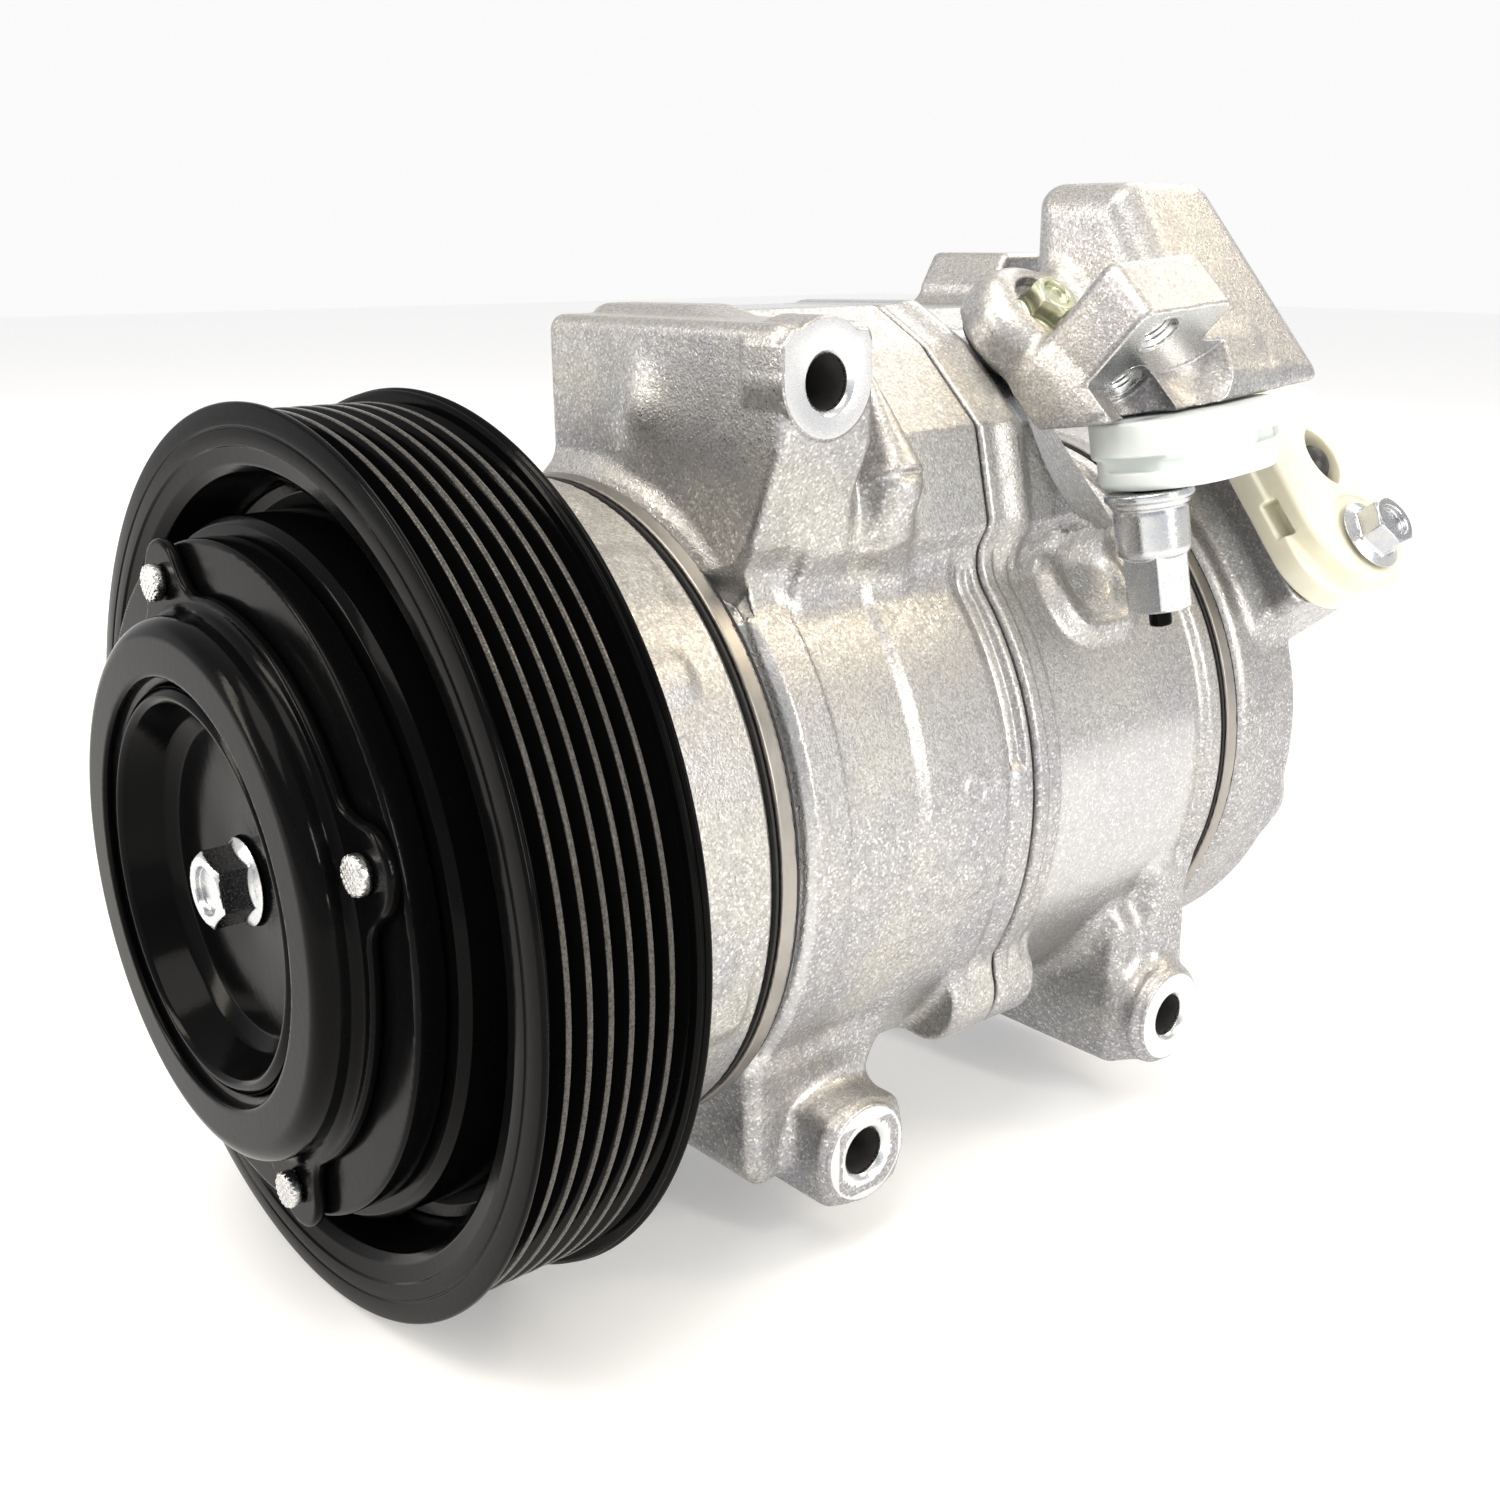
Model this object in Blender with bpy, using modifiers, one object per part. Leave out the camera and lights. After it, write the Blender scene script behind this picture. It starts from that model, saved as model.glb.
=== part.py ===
"""Automotive air-conditioning compressor: ten-cylinder swash-plate pump with a magnetic clutch and a
seven-groove belt pulley.

The shaft lies along Y: the clutch is at -Y, the rear housing at +Y, and +Z is up as mounted. Lengths are in
millimetres in the constants and are turned into metres when an object is made. Y is counted from the pulley's
front flange while modelling, and one empty moves the whole assembly so that the origin is the point of the
shaft axis in the plane of the upper front mounting bore.
"""

import math

import bmesh
import bpy
from mathutils import Matrix, Vector

MM = 0.001

# ---------------------------------------------------------------- driving dimensions, mm
DATUM_Y = 71.0            # upper front mounting bore, from the pulley's front flange
BODY_R = 60.6             # cast bodies, outside
BOLT_PCR, BOLT_ANGLE = 53.5, 54.0    # five long bolts, between the cylinders
BOLT_R, BOLT_HOLE_R = 2.9, 3.3
BORE_PCR, BORE_R, PISTON_R = 37.0, 16.0, 15.6
PISTON_ANGLE = 90.0
STROKE = 21.0
SWASH_TILT, SWASH_R, SWASH_T = 16.0, 47.0, 9.6
ROUND = 24                # facets of a turned piece

Y_HOUSING = (26.9, 54.8)  # front housing, without its nose
Y_GASKET_FO, Y_PLATE_F, Y_GASKET_FI = (55.1, 55.7), (56.0, 59.3), (59.6, 60.2)
Y_BLOCK_F, Y_SEAL, Y_BLOCK_R = (60.5, 116.9), (117.2, 117.8), (118.1, 175.7)
Y_GASKET_RI, Y_PLATE_R, Y_GASKET_RO = (176.0, 176.6), (176.9, 180.2), (180.5, 181.1)
Y_REAR = (181.4, 203.5)
Y_MID = 0.5 * (Y_BLOCK_F[0] + Y_BLOCK_R[1])

PULLEY_R, PULLEY_REAR_R, RIDGE_R, VALLEY_R = 76.5, 77.2, 75.0, 72.2
GROOVES, PITCH, GROOVE_0 = 7, 3.56, 1.14
ROTOR_R, NOSE_R = 58.7, 17.2
CUP_R, CUP_FRONT, RIVET_PCR = 44.5, -16.8, 50.1
RIVET_ANGLES = (109.0, 18.5, -71.0, 198.0)

UP_BORE = (54.0, 71.0, 79.0)       # mouth of the upper front mounting bore (runs along X)
LOW_BORE = (56.0, 80.5, -57.8)     # lower front
REAR_BORE = (60.0, 165.0, -55.6)   # lower rear
FAR_BORE = (11.0, 166.0, 84.0)     # upper rear, beside the manifold
EAR_BORE_R = 4.4

PORT2_N = Vector((0.79, 0.0, 0.613)).normalized()     # outward normal of the rear port's face
PORT1_N = Vector((0.13, 0.08, -0.988)).normalized()   # outward normal of the manifold's port face

COLLECTION = "automotive_ac_compressor"


# ---------------------------------------------------------------- helpers
for old in list(bpy.data.objects):
    bpy.data.objects.remove(old, do_unlink=True)

PARTS = bpy.data.collections.new(COLLECTION)
CUTTERS = bpy.data.collections.new("cutters")
for made in (PARTS, CUTTERS):
    bpy.context.scene.collection.children.link(made)
CUTTERS.hide_render = True

ROOT = bpy.data.objects.new("datum", None)
ROOT.location = (0.0, -DATUM_Y * MM, 0.0)
PARTS.objects.link(ROOT)


def material(name, colour, metallic, roughness):
    made = bpy.data.materials.new(name)
    made.use_nodes = True
    shader = made.node_tree.nodes["Principled BSDF"]
    shader.inputs["Base Color"].default_value = (*colour, 1.0)
    shader.inputs["Metallic"].default_value = metallic
    shader.inputs["Roughness"].default_value = roughness
    made.diffuse_color = (*colour, 1.0)
    return made


FINISHES = {
    "cast": ((0.62, 0.61, 0.58), 1.0, 0.42),
    "black_steel": ((0.012, 0.012, 0.013), 0.4, 0.22),
    "steel": ((0.46, 0.45, 0.43), 1.0, 0.35),
    "zinc": ((0.70, 0.70, 0.68), 1.0, 0.25),
    "yellow_zinc": ((0.72, 0.66, 0.42), 1.0, 0.28),
    "rubber": ((0.015, 0.015, 0.015), 0.0, 0.6),
    "gasket": ((0.03, 0.03, 0.03), 0.0, 0.7),
    "nylon": ((0.82, 0.84, 0.82), 0.0, 0.4),
    "cream_nylon": ((0.85, 0.82, 0.68), 0.0, 0.4),
    "copper": ((0.55, 0.25, 0.10), 1.0, 0.4),
    "bright_aluminium": ((0.75, 0.75, 0.76), 1.0, 0.25),
}


def finish(obj, kind):
    obj.data.materials.clear()
    obj.data.materials.append(material(obj.name + "_" + kind, *FINISHES[kind]))


def place(obj, helper=False):
    (CUTTERS if helper else PARTS).objects.link(obj)
    obj.parent = ROOT
    if helper:
        obj.hide_render = True
        obj.display_type = "WIRE"
    return obj


def smooth(mesh, angle=35.0):
    mesh.shade_smooth()
    mesh.set_sharp_from_angle(angle=math.radians(angle))


TO_Y = (math.radians(-90.0), 0.0, 0.0)     # local Z to the shaft's +Y


def turned(name, profile, steps=48, kind=None, centre=(0.0, 0.0, 0.0), rotation=TO_Y, helper=False, closed=True):
    """A turned piece. profile is (radius, height) in mm, in order down the outer side and up the inner side."""
    area = sum(a[0] * b[1] - b[0] * a[1] for a, b in zip(profile, profile[1:] + profile[:1]))
    if area > 0:
        profile = profile[::-1]
    mesh = bpy.data.meshes.new(name)
    points = [(r * MM, 0.0, h * MM) for r, h in profile]
    edges = [(i, i + 1) for i in range(len(points) - 1)]
    if closed:
        edges.append((len(points) - 1, 0))
    mesh.from_pydata(points, edges, [])
    obj = place(bpy.data.objects.new(name, mesh), helper)
    obj.location = Vector(centre) * MM
    obj.rotation_euler = rotation
    screw = obj.modifiers.new("turn", "SCREW")
    screw.axis = "Z"
    screw.steps = screw.render_steps = steps
    screw.use_merge_vertices = True
    screw.merge_threshold = 0.00001
    screw.use_smooth_shade = True
    if kind:
        finish(obj, kind)
    return obj


def from_bmesh(name, bm, kind=None, helper=False, matrix=None):
    mesh = bpy.data.meshes.new(name)
    bmesh.ops.recalc_face_normals(bm, faces=bm.faces)
    bm.to_mesh(mesh)
    bm.free()
    obj = place(bpy.data.objects.new(name, mesh), helper)
    if matrix is not None:
        obj.matrix_local = matrix
    if kind:
        finish(obj, kind)
    return obj


def aim(centre, direction, spin=0.0):
    """Matrix with local Z along direction, at centre (mm)."""
    turn = Vector(direction).to_track_quat("Z", "Y").to_matrix().to_4x4()
    return Matrix.Translation(Vector(centre) * MM) @ turn @ Matrix.Rotation(spin, 4, "Z")


def rod(name, r, p0, p1, sides=24, kind=None, helper=False, r2=None):
    """A straight round or hexagonal bar between two points, mm."""
    a, b = Vector(p0), Vector(p1)
    sides = sides if sides < 12 else max(10, round(sides * 0.6))
    bm = bmesh.new()
    bmesh.ops.create_cone(bm, cap_ends=True, segments=sides, radius1=r * MM,
                          radius2=(r if r2 is None else r2) * MM, depth=(b - a).length * MM)
    return from_bmesh(name, bm, kind, helper, aim((a + b) / 2, b - a))


def drills(name, specs):
    """One cutter of several round bars that don't meet: (radius, point, point, sides), mm."""
    bm = bmesh.new()
    for r, p0, p1, sides in specs:
        a, b = Vector(p0), Vector(p1)
        bmesh.ops.create_cone(bm, cap_ends=True, segments=sides, radius1=r * MM, radius2=r * MM,
                              depth=(b - a).length * MM, matrix=aim((a + b) / 2, b - a, 0.06))
    return from_bmesh(name, bm, helper=True)


def block(name, lo, hi, kind=None, helper=False):
    lo, hi = Vector(lo), Vector(hi)
    bm = bmesh.new()
    bmesh.ops.create_cube(bm, size=1.0)
    size = hi - lo
    bmesh.ops.scale(bm, vec=size * MM, verts=bm.verts)
    return from_bmesh(name, bm, kind, helper, Matrix.Translation((lo + hi) / 2 * MM))


def slab(name, outline, depth, matrix, kind=None, helper=False, bevel=0.0):
    """A flat outline (mm, in the local XY plane) thickened to depth, centred on the matrix."""
    curve = bpy.data.curves.new(name + "_outline", "CURVE")
    curve.dimensions = "2D"
    curve.fill_mode = "BOTH"
    curve.extrude = depth * MM / 2 - bevel * MM
    curve.bevel_depth = bevel * MM
    curve.bevel_resolution = 0
    curve.offset = -bevel * MM
    spline = curve.splines.new("POLY")
    spline.points.add(len(outline) - 1)
    for point, (x, y) in zip(spline.points, outline):
        point.co = (x * MM, y * MM, 0.0, 1.0)
    spline.use_cyclic_u = True
    guide = bpy.data.objects.new(name + "_guide", curve)
    bpy.context.scene.collection.objects.link(guide)
    graph = bpy.context.evaluated_depsgraph_get()
    mesh = bpy.data.meshes.new_from_object(guide.evaluated_get(graph))
    bpy.data.objects.remove(guide, do_unlink=True)
    bm = bmesh.new()
    bm.from_mesh(mesh)
    bpy.data.meshes.remove(mesh)
    bmesh.ops.remove_doubles(bm, verts=bm.verts, dist=1e-6)
    return from_bmesh(name, bm, kind, helper, matrix)


def boolean(obj, other, operation):
    modifier = obj.modifiers.new(operation.lower() + "_" + other.name, "BOOLEAN")
    modifier.operation = operation
    modifier.solver = "EXACT"
    modifier.object = other
    return obj


def cut(obj, *others):
    for other in others:
        boolean(obj, other, "DIFFERENCE")


def join(obj, *others):
    for other in others:
        boolean(obj, other, "UNION")


def polar(radius, degrees, y=0.0):
    a = math.radians(degrees)
    return Vector((radius * math.cos(a), y, radius * math.sin(a)))


def frame(centre, x_axis, z_axis):
    """Matrix at centre (mm) from a local X and a local Z direction."""
    z = Vector(z_axis).normalized()
    x = Vector(x_axis)
    x = (x - z * x.dot(z)).normalized()
    y = z.cross(x)
    turn = Matrix((x, y, z)).transposed().to_4x4()
    return Matrix.Translation(Vector(centre) * MM) @ turn


def oval(length, width, sides=20):
    """Stadium outline, its long axis along local X."""
    r = width / 2
    run = length / 2 - r
    half = sides // 2
    out = []
    for end in (1, -1):
        for i in range(half + 1):
            a = math.radians(-90.0 + 180.0 * i / half)
            out.append((end * (run + r * math.cos(a)), end * r * math.sin(a)))
    return out


def bolt_holes(y0, y1, r, sides=8, tag=""):
    return [drills(f"holes_{tag}", [(r, polar(BOLT_PCR, BOLT_ANGLE + 72 * i, y0),
                                     polar(BOLT_PCR, BOLT_ANGLE + 72 * i, y1), sides) for i in range(5)])]


# ---------------------------------------------------------------- front housing
front_housing = turned("front_housing", [
    (60.3, 54.8), (60.9, 53.4), (60.9, 34.0), (57.5, 30.6), (56.2, 27.4), (50.0, 26.9), (24.0, 26.9), (24.0, 23.2),
    (17.2, 23.2), (17.2, 1.6), (16.3, 1.6), (16.3, 0.3), (17.2, 0.3), (17.2, -1.0), (16.4, -1.8), (13.5, -1.8),
    (13.5, 28.0), (10.6, 28.0), (10.6, 30.5), (15.6, 30.5), (15.6, 54.8), (20.0, 54.8), (20.0, 37.0), (49.6, 37.0),
    (49.6, 54.8)], ROUND, "cast")
cut(front_housing, *bolt_holes(20.0, 60.0, BOLT_HOLE_R, tag="front_housing"))
cut(front_housing, *[rod(f"spotface_{i}", 6.4, polar(BOLT_PCR, BOLT_ANGLE + 72 * i, 20.0),
                         polar(BOLT_PCR, BOLT_ANGLE + 72 * i, 33.8), 16, helper=True) for i in range(5)])


# ---------------------------------------------------------------- gaskets and valve plates
def gasket(name, span):
    return turned(name, [(60.2, span[1]), (60.2, span[0]), (57.3, span[0]), (57.3, span[1])], ROUND, "gasket")


def valve_plate(name, span):
    plate = turned(name, [(60.5, span[1]), (60.5, span[0]), (10.0, span[0]), (10.0, span[1])], ROUND, "steel")
    specs = [(BOLT_HOLE_R, polar(BOLT_PCR, BOLT_ANGLE + 72 * i, span[0] - 5),
              polar(BOLT_PCR, BOLT_ANGLE + 72 * i, span[1] + 5), 8) for i in range(5)]
    for i in range(5):
        a = PISTON_ANGLE + 72 * i
        specs.append((2.8, polar(42.0, a, span[0] - 5), polar(42.0, a, span[1] + 5), 8))
    cut(plate, drills(name + "_holes", specs))
    return plate


gasket("front_gasket_outer", Y_GASKET_FO)
valve_plate("front_valve_plate", Y_PLATE_F)
gasket("front_gasket_inner", Y_GASKET_FI)
gasket("rear_gasket_inner", Y_GASKET_RI)
valve_plate("rear_valve_plate", Y_PLATE_R)
gasket("rear_gasket_outer", Y_GASKET_RO)


# ---------------------------------------------------------------- cylinder blocks
def cylinder_block(name, span, chamber):
    y0, y1 = span
    body = turned(name, [(0.0, y1), (BODY_R, y1), (BODY_R, y0), (0.0, y0)], ROUND, "cast", closed=False)
    return body


def hollow_block(body, span, chamber):
    """Cylinders, shaft passage, swash chamber and bolt holes, cut last."""
    y0, y1 = span
    specs = [(BORE_R, polar(BORE_PCR, PISTON_ANGLE + 72 * i, y0 - 5), polar(BORE_PCR, PISTON_ANGLE + 72 * i, y1 + 5), 20)
             for i in range(5)]
    specs += [(BOLT_HOLE_R, polar(BOLT_PCR, BOLT_ANGLE + 72 * i, y0 - 5),
               polar(BOLT_PCR, BOLT_ANGLE + 72 * i, y1 + 5), 8) for i in range(5)]
    specs.append((12.8, (0, y0 - 5, 0), (0, y1 + 5, 0), 16))
    cut(body, drills(body.name + "_drillings", specs))
    cut(body, rod(body.name + "_chamber", 49.4, (0, chamber[0], 0), (0, chamber[1], 0), 48, helper=True))


# Top boss of the front block: the upper front mounting ear at +X, and a platform with a 45 degree flank.
front_block = cylinder_block("front_cylinder_block", Y_BLOCK_F, None)
y0, y1 = Y_BLOCK_F
TOP_OUTLINE = [(-22.0, 40.0), (-22.0, 86.0), (-20.0, 88.0), (17.0, 88.6), (29.0, 82.0), (43.0, 68.5), (47.0, 51.0),
               (40.0, 38.0)]


def along_y(outline, lo, hi, name):
    """Outline in (X, Z) run along Y from lo to hi."""
    flat = [(x, -z) for x, z in outline]
    return slab(name, flat, hi - lo, Matrix.Translation((0, (lo + hi) / 2 * MM, 0)) @ Matrix.Rotation(
        math.radians(-90), 4, "X"), helper=True)


def along_x(outline, lo, hi, name):
    """Outline in (Y, Z) run along X from lo to hi."""
    turn = Matrix(((0, 0, 1), (1, 0, 0), (0, 1, 0))).to_4x4()
    return slab(name, outline, hi - lo, Matrix.Translation(((lo + hi) / 2 * MM, 0, 0)) @ turn, helper=True)


join(front_block,
     along_y([(-9.5, 40.0), (-10.5, 85.5), (-8.5, 87.6), (52.0, 88.0), (54.0, 86.0), (54.0, 69.0), (46.0, 52.5),
              (36.0, 40.0)], y0, 82.0, "front_top_ear"),
     along_y(TOP_OUTLINE, 79.0, y1, "front_platform"),
     block("front_low_ear_web", (22.0, y0, -63.0), (49.5, 90.0, -30.0), helper=True),
     rod("front_low_ear_boss", 10.2, (24.0, LOW_BORE[1], LOW_BORE[2]), LOW_BORE, 28, helper=True),
     rod("front_lug", 9.0, polar(59.0, -41.0, 106.0), polar(59.0, -41.0, y1), 20, helper=True))
hollow_block(front_block, Y_BLOCK_F, (97.0, 140.0))
cut(front_block,
    rod("upper_ear_bore", EAR_BORE_R, (-15.0, UP_BORE[1], UP_BORE[2]), (60.0, UP_BORE[1], UP_BORE[2]), 24, helper=True),
    rod("lower_ear_bore", EAR_BORE_R, (15.0, LOW_BORE[1], LOW_BORE[2]), (62.0, LOW_BORE[1], LOW_BORE[2]), 24,
        helper=True))

turned("centre_seal", [(60.2, Y_SEAL[1]), (60.2, Y_SEAL[0]), (56.9, Y_SEAL[0]), (56.9, Y_SEAL[1])], ROUND, "gasket")

rear_block = cylinder_block("rear_cylinder_block", Y_BLOCK_R, None)
y0, y1 = Y_BLOCK_R
join(rear_block,
     along_y(TOP_OUTLINE, y0, 152.0, "rear_platform"),
     along_x([(157.0, 40.0), (155.5, 91.0), (158.5, 95.2), (172.0, 95.2), (175.2, 91.0), (175.2, 40.0)], -11.0,
             FAR_BORE[0], "rear_top_ear"),
     along_x([(153.0, -30.0), (153.0, -64.0), (156.0, -67.0), (172.0, -67.0), (175.2, -64.0), (175.2, -30.0)], 15.0,
             REAR_BORE[0] - 6.0, "rear_low_ear"),
     rod("rear_low_ear_boss", 11.2, (30.0, REAR_BORE[1], REAR_BORE[2]), REAR_BORE, 28, helper=True),
     rod("rear_lug", 9.0, polar(59.0, -41.0, y0), polar(59.0, -41.0, 128.0), 20, helper=True))
hollow_block(rear_block, Y_BLOCK_R, (100.0, 139.2))
cut(rear_block,
    rod("rear_ear_bore", EAR_BORE_R, (28.0, REAR_BORE[1], REAR_BORE[2]), (66.0, REAR_BORE[1], REAR_BORE[2]), 24,
        helper=True),
    rod("far_ear_bore", EAR_BORE_R, (-20.0, FAR_BORE[1], FAR_BORE[2]), (16.0, FAR_BORE[1], FAR_BORE[2]), 24,
        helper=True))

# ---------------------------------------------------------------- rear housing with the second port
rear_housing = turned("rear_housing", [
    (0.0, 203.5), (50.0, 203.5), (57.5, 201.0), (60.6, 197.0), (60.6, 181.4), (49.6, 181.4), (49.6, 197.5),
    (0.0, 197.5)], ROUND, "cast", closed=False)
PORT2_V = PORT2_N.cross(Vector((0, 1, 0)))          # up the face
PORT2_C = Vector((51.2, 209.0, 46.5))
port2 = frame(PORT2_C - PORT2_N * 14.0, (0, 1, 0), PORT2_N)
join(rear_housing,
     slab("rear_port_block", [(-17.5, -22.0), (13.0, -22.0), (17.5, -17.0), (17.5, 17.0), (13.0, 22.0), (-17.5, 22.0)],
          28.0, port2, helper=True),
     rod("rear_housing_rib", 9.0, (0, 190.0, 0), (0, 206.5, 0), 24, helper=True))
cut(rear_housing,
    rod("rear_port_bore", 8.0, PORT2_C + PORT2_N * 5 + PORT2_V * 5.0, PORT2_C - PORT2_N * 18 + PORT2_V * 5.0, 20,
        helper=True),
    rod("rear_port_tap", 3.4, PORT2_C + PORT2_N * 5 - PORT2_V * 14.5, PORT2_C - PORT2_N * 16 - PORT2_V * 14.5, 12,
        helper=True),
    rod("rear_post_hollow", 5.0, (0, 181.0, 0), (0, 199.0, 0), 16, helper=True),
    *bolt_holes(175.0, 196.5, BOLT_HOLE_R, 8, "rear_housing"))

# ---------------------------------------------------------------- manifold (port block) on the rear block's flank
FLANK_N = Vector((0.694, 0.0, 0.72)).normalized()
FLANK_P = Vector((36.0, 138.0, 75.25))
SEAT = 1.2                                            # gasket thickness with its two gaps
manifold = along_y([(61.5, 72.5), (41.5, 75.0), (31.5, 84.2), (25.0, 91.5), (23.0, 95.0), (23.0, 107.0),
                    (26.0, 110.5), (42.0, 110.5), (48.0, 106.0), (62.5, 80.0), (63.0, 74.0)], 150.5, 207.0,
                   "suction_manifold_body")
CUTTERS.objects.unlink(manifold)
PARTS.objects.link(manifold)
manifold.name = "suction_manifold"
manifold.hide_render = False
manifold.display_type = "TEXTURED"
finish(manifold, "cast")
LOBE = Vector((36.6, 140.6, 86.8))
lobe_foot = LOBE - FLANK_N * ((LOBE - FLANK_P).dot(FLANK_N) - SEAT)
DOWN = Vector((FLANK_N.z, 0.0, -FLANK_N.x))           # down the flank, and square to the milled face


def on_flank(down, y, out):
    """A point by its run down the flank, its Y and its height off the flank."""
    return Vector((FLANK_P.x, y, FLANK_P.z)) + DOWN * down + FLANK_N * out


join(manifold,
     along_y([(23.9, 88.6), (42.1, 71.0), (55.6, 71.0), (32.9, 92.9), (28.2, 93.1)], 131.4, 152.0, "manifold_foot"),
     rod("manifold_lobe", 12.5, lobe_foot + FLANK_N * 0.02, lobe_foot + FLANK_N * 9.6, 28, helper=True),
     along_y([(37.4, 75.7), (42.1, 71.1), (60.5, 71.1), (55.3, 75.1), (67.9, 88.1), (58.4, 97.3)], 131.5, 155.0,
             "manifold_bar"))
hole_a, hole_b = on_flank(14.0, 140.4, 26.0), on_flank(14.0, 143.0, 14.6)
mill = on_flank(14.0, 150.0, 27.0)
cut(manifold,
    # the rear end slopes down and back
    slab("manifold_rear_slope", [(-45, -45), (45, -45), (45, 45), (-45, 45)], 60.0,
         frame((40.0, 211.0, 106.6), (1, 0, 0), Vector((0, 0.9, 0.436))), helper=True),
    rod("milled_face", 12.9, mill, mill + DOWN * 30, 36, helper=True),
    rod("tapped_hole_a", 3.4, hole_a + DOWN * 8, hole_a - DOWN * 10.5, 14, helper=True),
    rod("tapped_hole_b", 3.4, hole_b + DOWN * 8, hole_b - DOWN * 10.5, 14, helper=True),
    rod("lobe_counterbore", 7.0, lobe_foot + FLANK_N * 7.6, lobe_foot + FLANK_N * 40, 24, helper=True),
    rod("lobe_hole", 3.3, lobe_foot - FLANK_N * 5, lobe_foot + FLANK_N * 20, 12, helper=True))
cut(rear_block, rod("manifold_tap", 3.3, lobe_foot + FLANK_N * 5, lobe_foot - FLANK_N * 16.0, 12, helper=True))

flank_gasket_outline = [(-14.0, -12.0), (12.0, -12.0), (12.0, 12.0), (-14.0, 12.0)]

# ---------------------------------------------------------------- long bolts that clamp the castings together
for i in range(5):
    head = polar(BOLT_PCR, BOLT_ANGLE + 72 * i)
    bolt = turned(f"through_bolt_{i + 1}", [(0.0, 195.5), (BOLT_R, 195.5), (BOLT_R, 33.4), (5.4, 33.4), (5.4, 32.2),
                                            (0.0, 32.2)], 8, "zinc", centre=(head.x, 0, head.z), closed=False)
    join(bolt, rod(f"bolt_hex_{i + 1}", 4.6, head + Vector((0, 28.2, 0)), head + Vector((0, 32.8, 0)), 6, helper=True))

# ---------------------------------------------------------------- field coil
turned("field_coil_can", [(56.0, 26.4), (56.0, 24.8), (53.2, 24.8), (53.2, 5.2), (51.2, 5.2), (51.2, 23.4), (36.0, 23.4),
                          (36.0, 5.2), (34.0, 5.2), (34.0, 24.8), (27.0, 24.8), (27.0, 26.4)], ROUND, "steel")
turned("field_coil_winding", [(50.9, 23.0), (50.9, 7.0), (36.3, 7.0), (36.3, 23.0)], ROUND, "copper")

# ---------------------------------------------------------------- pulley with its rotor, one turned piece
profile = [(74.4, 28.6), (76.4, 28.5), (PULLEY_REAR_R, 27.6), (76.8, 26.7), (RIDGE_R - 0.4, 26.05)]
for g in reversed(range(GROOVES)):
    y = GROOVE_0 + g * PITCH
    profile.append((VALLEY_R, y + PITCH / 2))
    if g:
        profile += [(RIDGE_R, y + 0.3), (RIDGE_R, y - 0.3)]
profile += [(RIDGE_R + 0.2, 1.1), (PULLEY_R, 0.35), (76.0, -0.5), (69.5, -0.7), (69.0, -0.2), (66.6, 0.0), (65.4, 1.2),
            (64.8, 5.0), (63.6, 12.0), (61.4, 13.2), (ROTOR_R, 12.8), (ROTOR_R, -0.6), (57.6, -2.0), (24.6, -2.0),
            (24.6, 0.6), (26.2, 0.6), (26.2, 23.0), (30.6, 23.0), (30.6, 3.0), (55.4, 3.0), (55.4, 24.2),
            (ROTOR_R, 24.2), (ROTOR_R + 0.6, 17.0), (66.0, 17.4), (68.6, 21.0), (68.8, 28.0), (69.4, 28.6)]
turned("pulley", profile, 28, "black_steel")

turned("bearing_outer_race", [(25.9, 22.5), (25.9, 2.6), (22.6, 2.6), (22.6, 22.5)], 28, "steel")
turned("bearing_inner_race", [(19.4, 22.6), (19.4, 2.4), (17.5, 2.4), (17.5, 22.6)], ROUND, "steel")
turned("bearing_ball_row", [(22.2, 14.6), (22.2, 10.6), (21.4, 9.4), (20.6, 9.4), (19.8, 10.6), (19.8, 14.6),
                            (20.6, 15.8), (21.4, 15.8)], ROUND, "steel")
ring = turned("pulley_snap_ring", [(19.6, 1.3), (19.6, 0.6), (16.6, 0.6), (16.6, 1.3)], ROUND, "steel")
cut(ring, block("snap_ring_gap", (-3.0, -2.0, -25.0), (3.0, 4.0, 0.0), helper=True))

# ---------------------------------------------------------------- clutch hub, armature and centre bolt
cup = turned("clutch_cup", [(CUP_R, -8.2), (CUP_R, -15.4), (43.9, -16.4), (42.6, CUP_FRONT), (36.2, CUP_FRONT),
                            (34.9, -16.3), (34.3, -15.3), (42.6, -15.3), (42.6, -8.2)], ROUND, "black_steel")
lobed = []
for k in range(44):
    a = 360.0 * k / 44
    off = min(abs((a - r + 180.0) % 360.0 - 180.0) for r in RIVET_ANGLES)
    lobed.append((polar(47.4 + 9.0 * math.exp(-(off / 8.5) ** 4) + 1.2 * math.exp(-(off / 15.0) ** 2), a)))
lobes = slab("clutch_lobes", [(p.x, -p.z) for p in lobed], 2.0,
             Matrix.Translation((0, -9.1 * MM, 0)) @ Matrix.Rotation(math.radians(-90), 4, "X"), helper=True)
cut(lobes, rod("clutch_lobes_open", 43.4, (0, -14, 0), (0, -4, 0), 48, helper=True),
    drills("clutch_lobes_rivet_holes", [(2.3, polar(RIVET_PCR, a, -14), polar(RIVET_PCR, a, -4), 8)
                                        for a in RIVET_ANGLES]))
join(cup, lobes)
armature = turned("armature_plate", [(55.8, -3.0), (55.8, -7.2), (55.2, -7.7), (34.6, -7.7), (34.6, -2.6), (55.3, -2.6)],
                  ROUND, "black_steel")
cut(armature, drills("armature_rivet_holes", [(2.3, polar(RIVET_PCR, a, -14), polar(RIVET_PCR, a, 4), 8)
                                              for a in RIVET_ANGLES]))
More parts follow.
